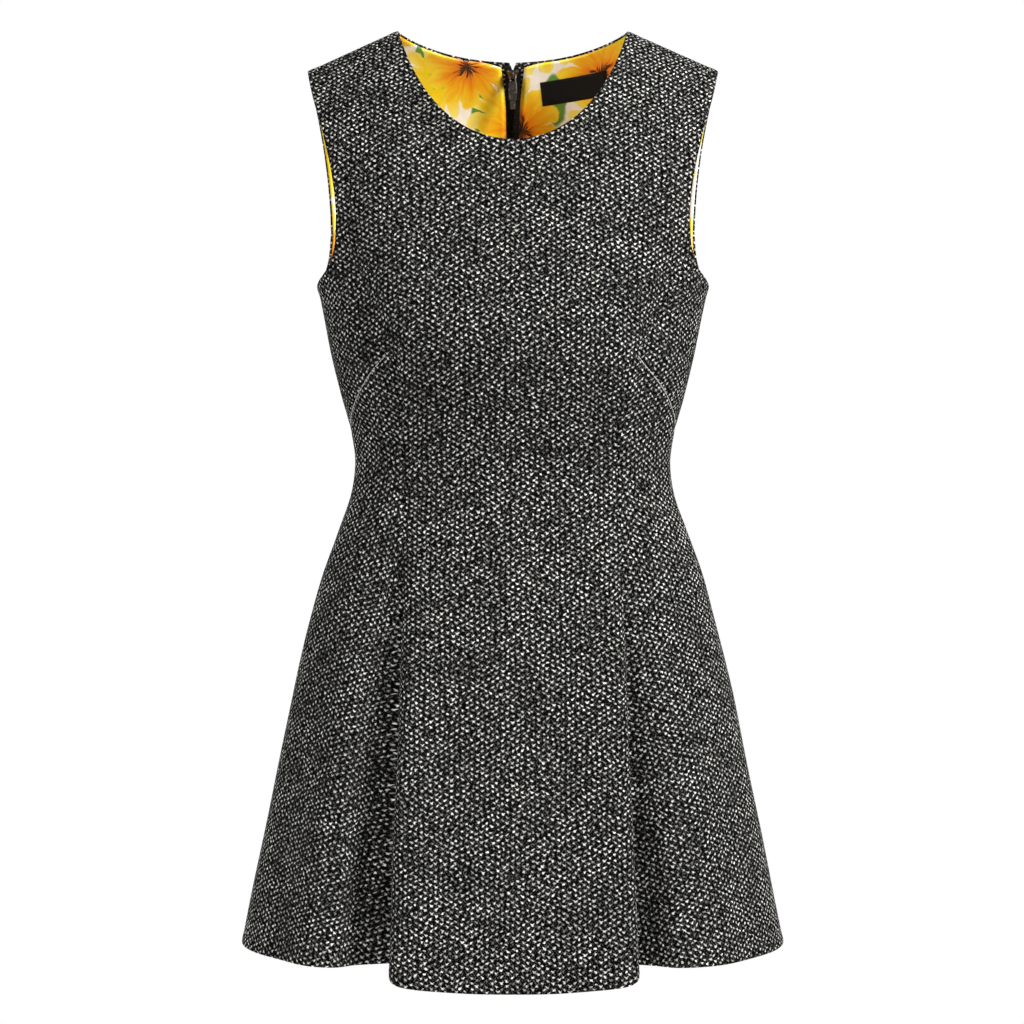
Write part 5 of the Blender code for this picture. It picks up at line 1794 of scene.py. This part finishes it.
    def pull_tab(self, finishes: Finishes) -> None:
        """The pull tab hanging from its crossbar: a framed bar, plain at its foot."""
        loops = self.tab_loops()
        core, core_faces = self.tab_bar(loops, self.tab_thickness / 2 - 0.4, 0.2)
        frames, places = self.slider_frame()
        axis = places[0] + frames[0, 2] * (self.slider_height + self.bail_inner_height / 2)
        top = self.crossbar / 2
        head, low = top - self.tab_head_length, top - self.tab_head_length - self.tab_body_length
        half, inner = self.tab_half_width, self.tab_half_width - self.tab_rim
        frame_loop = np.array([(-half, low), (half, low), (half, head), (-half, head)])
        low, head = low + self.tab_rim_foot, head - self.tab_rim_head
        hole = np.array([(-inner, low), (inner, low), (inner, head), (-inner, head)])
        rim, rim_faces = self.tab_bar((frame_loop, hole), self.tab_thickness / 2, 0.2)
        ring, ring_faces = self.tab_bar((self.grown(loops[1], 0.9), loops[1]), self.tab_thickness / 2, 0.18)
        points = np.concatenate([core, rim, ring]) + axis
        faces = [*core_faces, *(block + len(core) for block in rim_faces),
                 *(block + len(core) + len(rim) for block in ring_faces)]
        small_piece("zip_pull_tab_cast", (points, faces), finishes.metal, "pull_tab", "zip_pull_tab")

    def build(self, finishes: Finishes) -> None:
        """Every hard piece of the zip."""
        self.chain(finishes)
        self.slider(finishes)
        self.pull_tab(finishes)


# == label and threads


@dataclass(frozen=True)
class Label:
    """A blank woven label on the back lining, in millimetres, tilted as it is sewn."""

    start: float = 25.0
    top: float = -18.5
    length: float = 61.0
    height: float = 20.5
    tilt: float = 7.2
    depth: float = 4.0
    cut: WallCut = WallCut(thickness=0.6, depth=4.0, fold_round=0.28, trough=0.0, turn_rise=0.0)

    def build(self, finishes: Finishes, block: Block) -> None:
        """The label on the form: its places are those on the lining's face, traced back out."""
        reach = (np.linspace(0.0, 1.0, 41) * self.length)[None, :]
        drop = (np.linspace(0.0, 1.0, 17) * self.height)[:, None]
        turn = math.radians(self.tilt)
        x = self.start + reach * math.cos(turn) + drop * math.sin(turn)
        z = self.top + reach * math.sin(turn) - drop * math.cos(turn)
        outer_x, outer_z = x, z
        for _ in range(3):
            normals = FORM.normals(FORM.angle_at(outer_x, outer_z), outer_z, Face.BACK, Side.RIGHT)
            outer_x, outer_z = x + normals[..., 0] * self.depth, z + normals[..., 2] * self.depth
        cloth = block.laid_out(FORM.angle_at(outer_x, outer_z), outer_z, Face.BACK, Side.RIGHT, False)
        cloth = replace(cloth, plan=np.stack([reach + 0 * drop, 0 * reach - drop], axis=-1))
        piece = wall_of("label_woven", [Stretch(cloth, Face.BACK, RIBBON_EDGES)], self.cut, [finishes.label])
        dress_cloth(piece, "label", FlatCut.of([cloth]))


@dataclass(frozen=True)
class SeamThreads:
    """White yarn ends that show as short stitches along the dart seams, in millimetres."""

    stitch: float = 2.5
    spacing: float = 3.0
    radius: float = 0.42
    share: float = 0.82
    sunk: float = 0.25
    knot: tuple[float, float] = (5.0, -4.2)
    knot_depth: float = 3.5

    def build(self, finishes: Finishes, block: Block) -> None:
        """One row of stitches on each dart seam, and the stitch at the top of the tape."""
        points, faces = capsule(self.stitch, self.radius)
        for side in Side:
            cloth = block.front_side(side).part(slice(0, 1))
            seam = cloth.points[0] / MM
            normals = cloth.normals[0]
            lift = FORM.relief(seam, Face.FRONT) - self.sunk
            seam = seam + normals * lift[:, None]
            lengths = np.concatenate([[0.0], np.cumsum(np.linalg.norm(np.diff(seam, axis=0), axis=1))])
            marks = np.arange(self.spacing / 2, lengths[-1] * self.share, self.spacing)
            marks = marks + 0.35 * np.sin(marks * 5.1 + side)
            places = smooth(lengths, seam, marks)
            along_seam = unit(smooth(lengths, seam, marks + 0.5) - smooth(lengths, seam, marks - 0.5))
            outward = unit(smooth(lengths, normals, marks))
            beside = unit(np.cross(outward, along_seam))
            frames = np.stack([along_seam, beside, np.cross(along_seam, beside)], axis=1)
            shape = repeated(points, faces, frames, places)
            small_piece(f"dart_threads_{side.name.lower()}", shape, finishes.white_yarn)
        frames, _ = ZipMetal().centre_frames(np.array([self.knot[1]]))
        x, z = (np.array([value]) for value in self.knot)
        spot = FORM.folded(FORM.angle_at(x, z), z, Face.BACK, Side.RIGHT)
        spot = spot + frames[:, 2] * self.knot_depth
        shape = repeated(*capsule(1.5, 0.45), frames, spot)
        small_piece("tape_stitch", shape, finishes.white_yarn)


# == camera, light and floor


@dataclass(frozen=True)
class Lamp:
    """A square soft light that looks at the dress's chest: place, side and power."""

    place: Point
    size: float
    power: float
    aim: Point = (0.0, 0.0, -0.35)

    def build(self, name: str) -> None:
        """Add it."""
        data = bpy.data.lights.new(name, "AREA")
        data.size = self.size
        data.energy = self.power
        item = bpy.data.objects.new(name, data)
        item.location = self.place
        aim = np.subtract(self.aim, self.place)
        level = math.hypot(aim[0], aim[1])
        item.rotation_euler = (math.pi / 2 + math.atan2(aim[2], level), 0.0, math.atan2(-aim[0], aim[1]))
        bpy.context.scene.collection.objects.link(item)


@dataclass(frozen=True)
class Studio:
    """A plain pale floor, soft light and the camera at the photograph's angle."""

    distance: float = 2.3
    eye_height: float = -0.4135
    eye_x: float = -0.0007
    pixel: float = 0.000895
    frame_pixels: int = 1024
    sensor: float = 36.0
    floor_height: float = -1.15
    floor_radius: float = 1.15
    backdrop: str = "#ffffff"
    surround: str = "#484848"
    backdrop_edge: tuple[float, float] = (0.6, 0.92)
    key: Lamp = Lamp((2.15, -1.75, 1.6), 0.8, 166.0)
    fill: Lamp = Lamp((-2.0, -2.1, 0.2), 1.0, 44.0)
    behind: Lamp = Lamp((-1.3, 2.3, 1.4), 1.2, 90.0)

    def camera(self) -> None:
        """The camera: its lens gives one pixel the photograph's size at the dress's middle."""
        data = bpy.data.cameras.new("camera")
        data.sensor_width = self.sensor
        data.lens = self.sensor * self.distance / (self.frame_pixels * self.pixel)
        data.dof.use_dof = False
        item = bpy.data.objects.new("camera", data)
        item.location = (self.eye_x, -self.distance, self.eye_height)
        item.rotation_euler = (math.pi / 2, 0.0, 0.0)
        bpy.context.scene.collection.objects.link(item)
        bpy.context.scene.camera = item
        bpy.context.scene.view_settings.view_transform = "Standard"

    def floor(self) -> None:
        """A round pale floor: rings of growing radius about the middle."""
        radii = np.array([0.0, 0.4, 0.8, 1.0])[:, None] * self.floor_radius
        turn = np.linspace(0.0, 2 * math.pi, 65)[None, :-1]
        level = self.floor_height + 0 * radii * turn
        points = np.stack([radii * np.cos(turn), radii * np.sin(turn), level], axis=-1)
        index = np.arange(points.shape[0] * points.shape[1]).reshape(points.shape[:2])
        index = np.concatenate([index, index[:, :1]], axis=1)
        quads = cells(index).reshape(-1, 4)
        mesh_object("studio_floor", points.reshape(-1, 3), [quads], None, [PaintFinish().material()])

    def world(self) -> None:
        """The surroundings: grey, with a white backdrop behind the dress and for the camera."""
        world = bpy.data.worlds.new("studio")
        world.use_nodes = True
        world.node_tree.nodes.clear()
        put = partial(add_node, world.node_tree)
        axes = put("SeparateXYZ", put("TexCoord").outputs["Generated"])
        behind = put("MapRange:SMOOTHSTEP", axes.outputs[1], *self.backdrop_edge, 0.0, 1.0)
        colour = put("Mix:RGBA", behind, linear(self.surround), linear(self.backdrop))
        colour = put("Mix:RGBA", put("LightPath"), colour, linear(self.backdrop))
        put("OutputWorld", Surface=put("Background", Color=colour, Strength=1.0))
        bpy.context.scene.world = world

    def build(self) -> None:
        """Set the whole studio."""
        self.camera()
        self.floor()
        self.key.build("key_light")
        self.fill.build("fill_light")
        self.behind.build("back_light")
        self.world()


# == the dress


def main() -> None:
    """Build the studio and the dress, and report each piece."""
    logging.basicConfig(level=logging.INFO, format="%(message)s")
    Studio().build()
    finishes = Finishes.made()
    block = Block(Steps(6, (0.08, 0.22, 0.48)))
    TweedPanels(finishes, block).build()
    tape = ZipTape()
    BackLining(finishes, tape=tape).build()
    tape.build(finishes, block)
    ZipMetal().build(finishes)
    Label().build(finishes, block)
    SeamThreads().build(finishes, block)


if __name__ == "__main__":
    main()
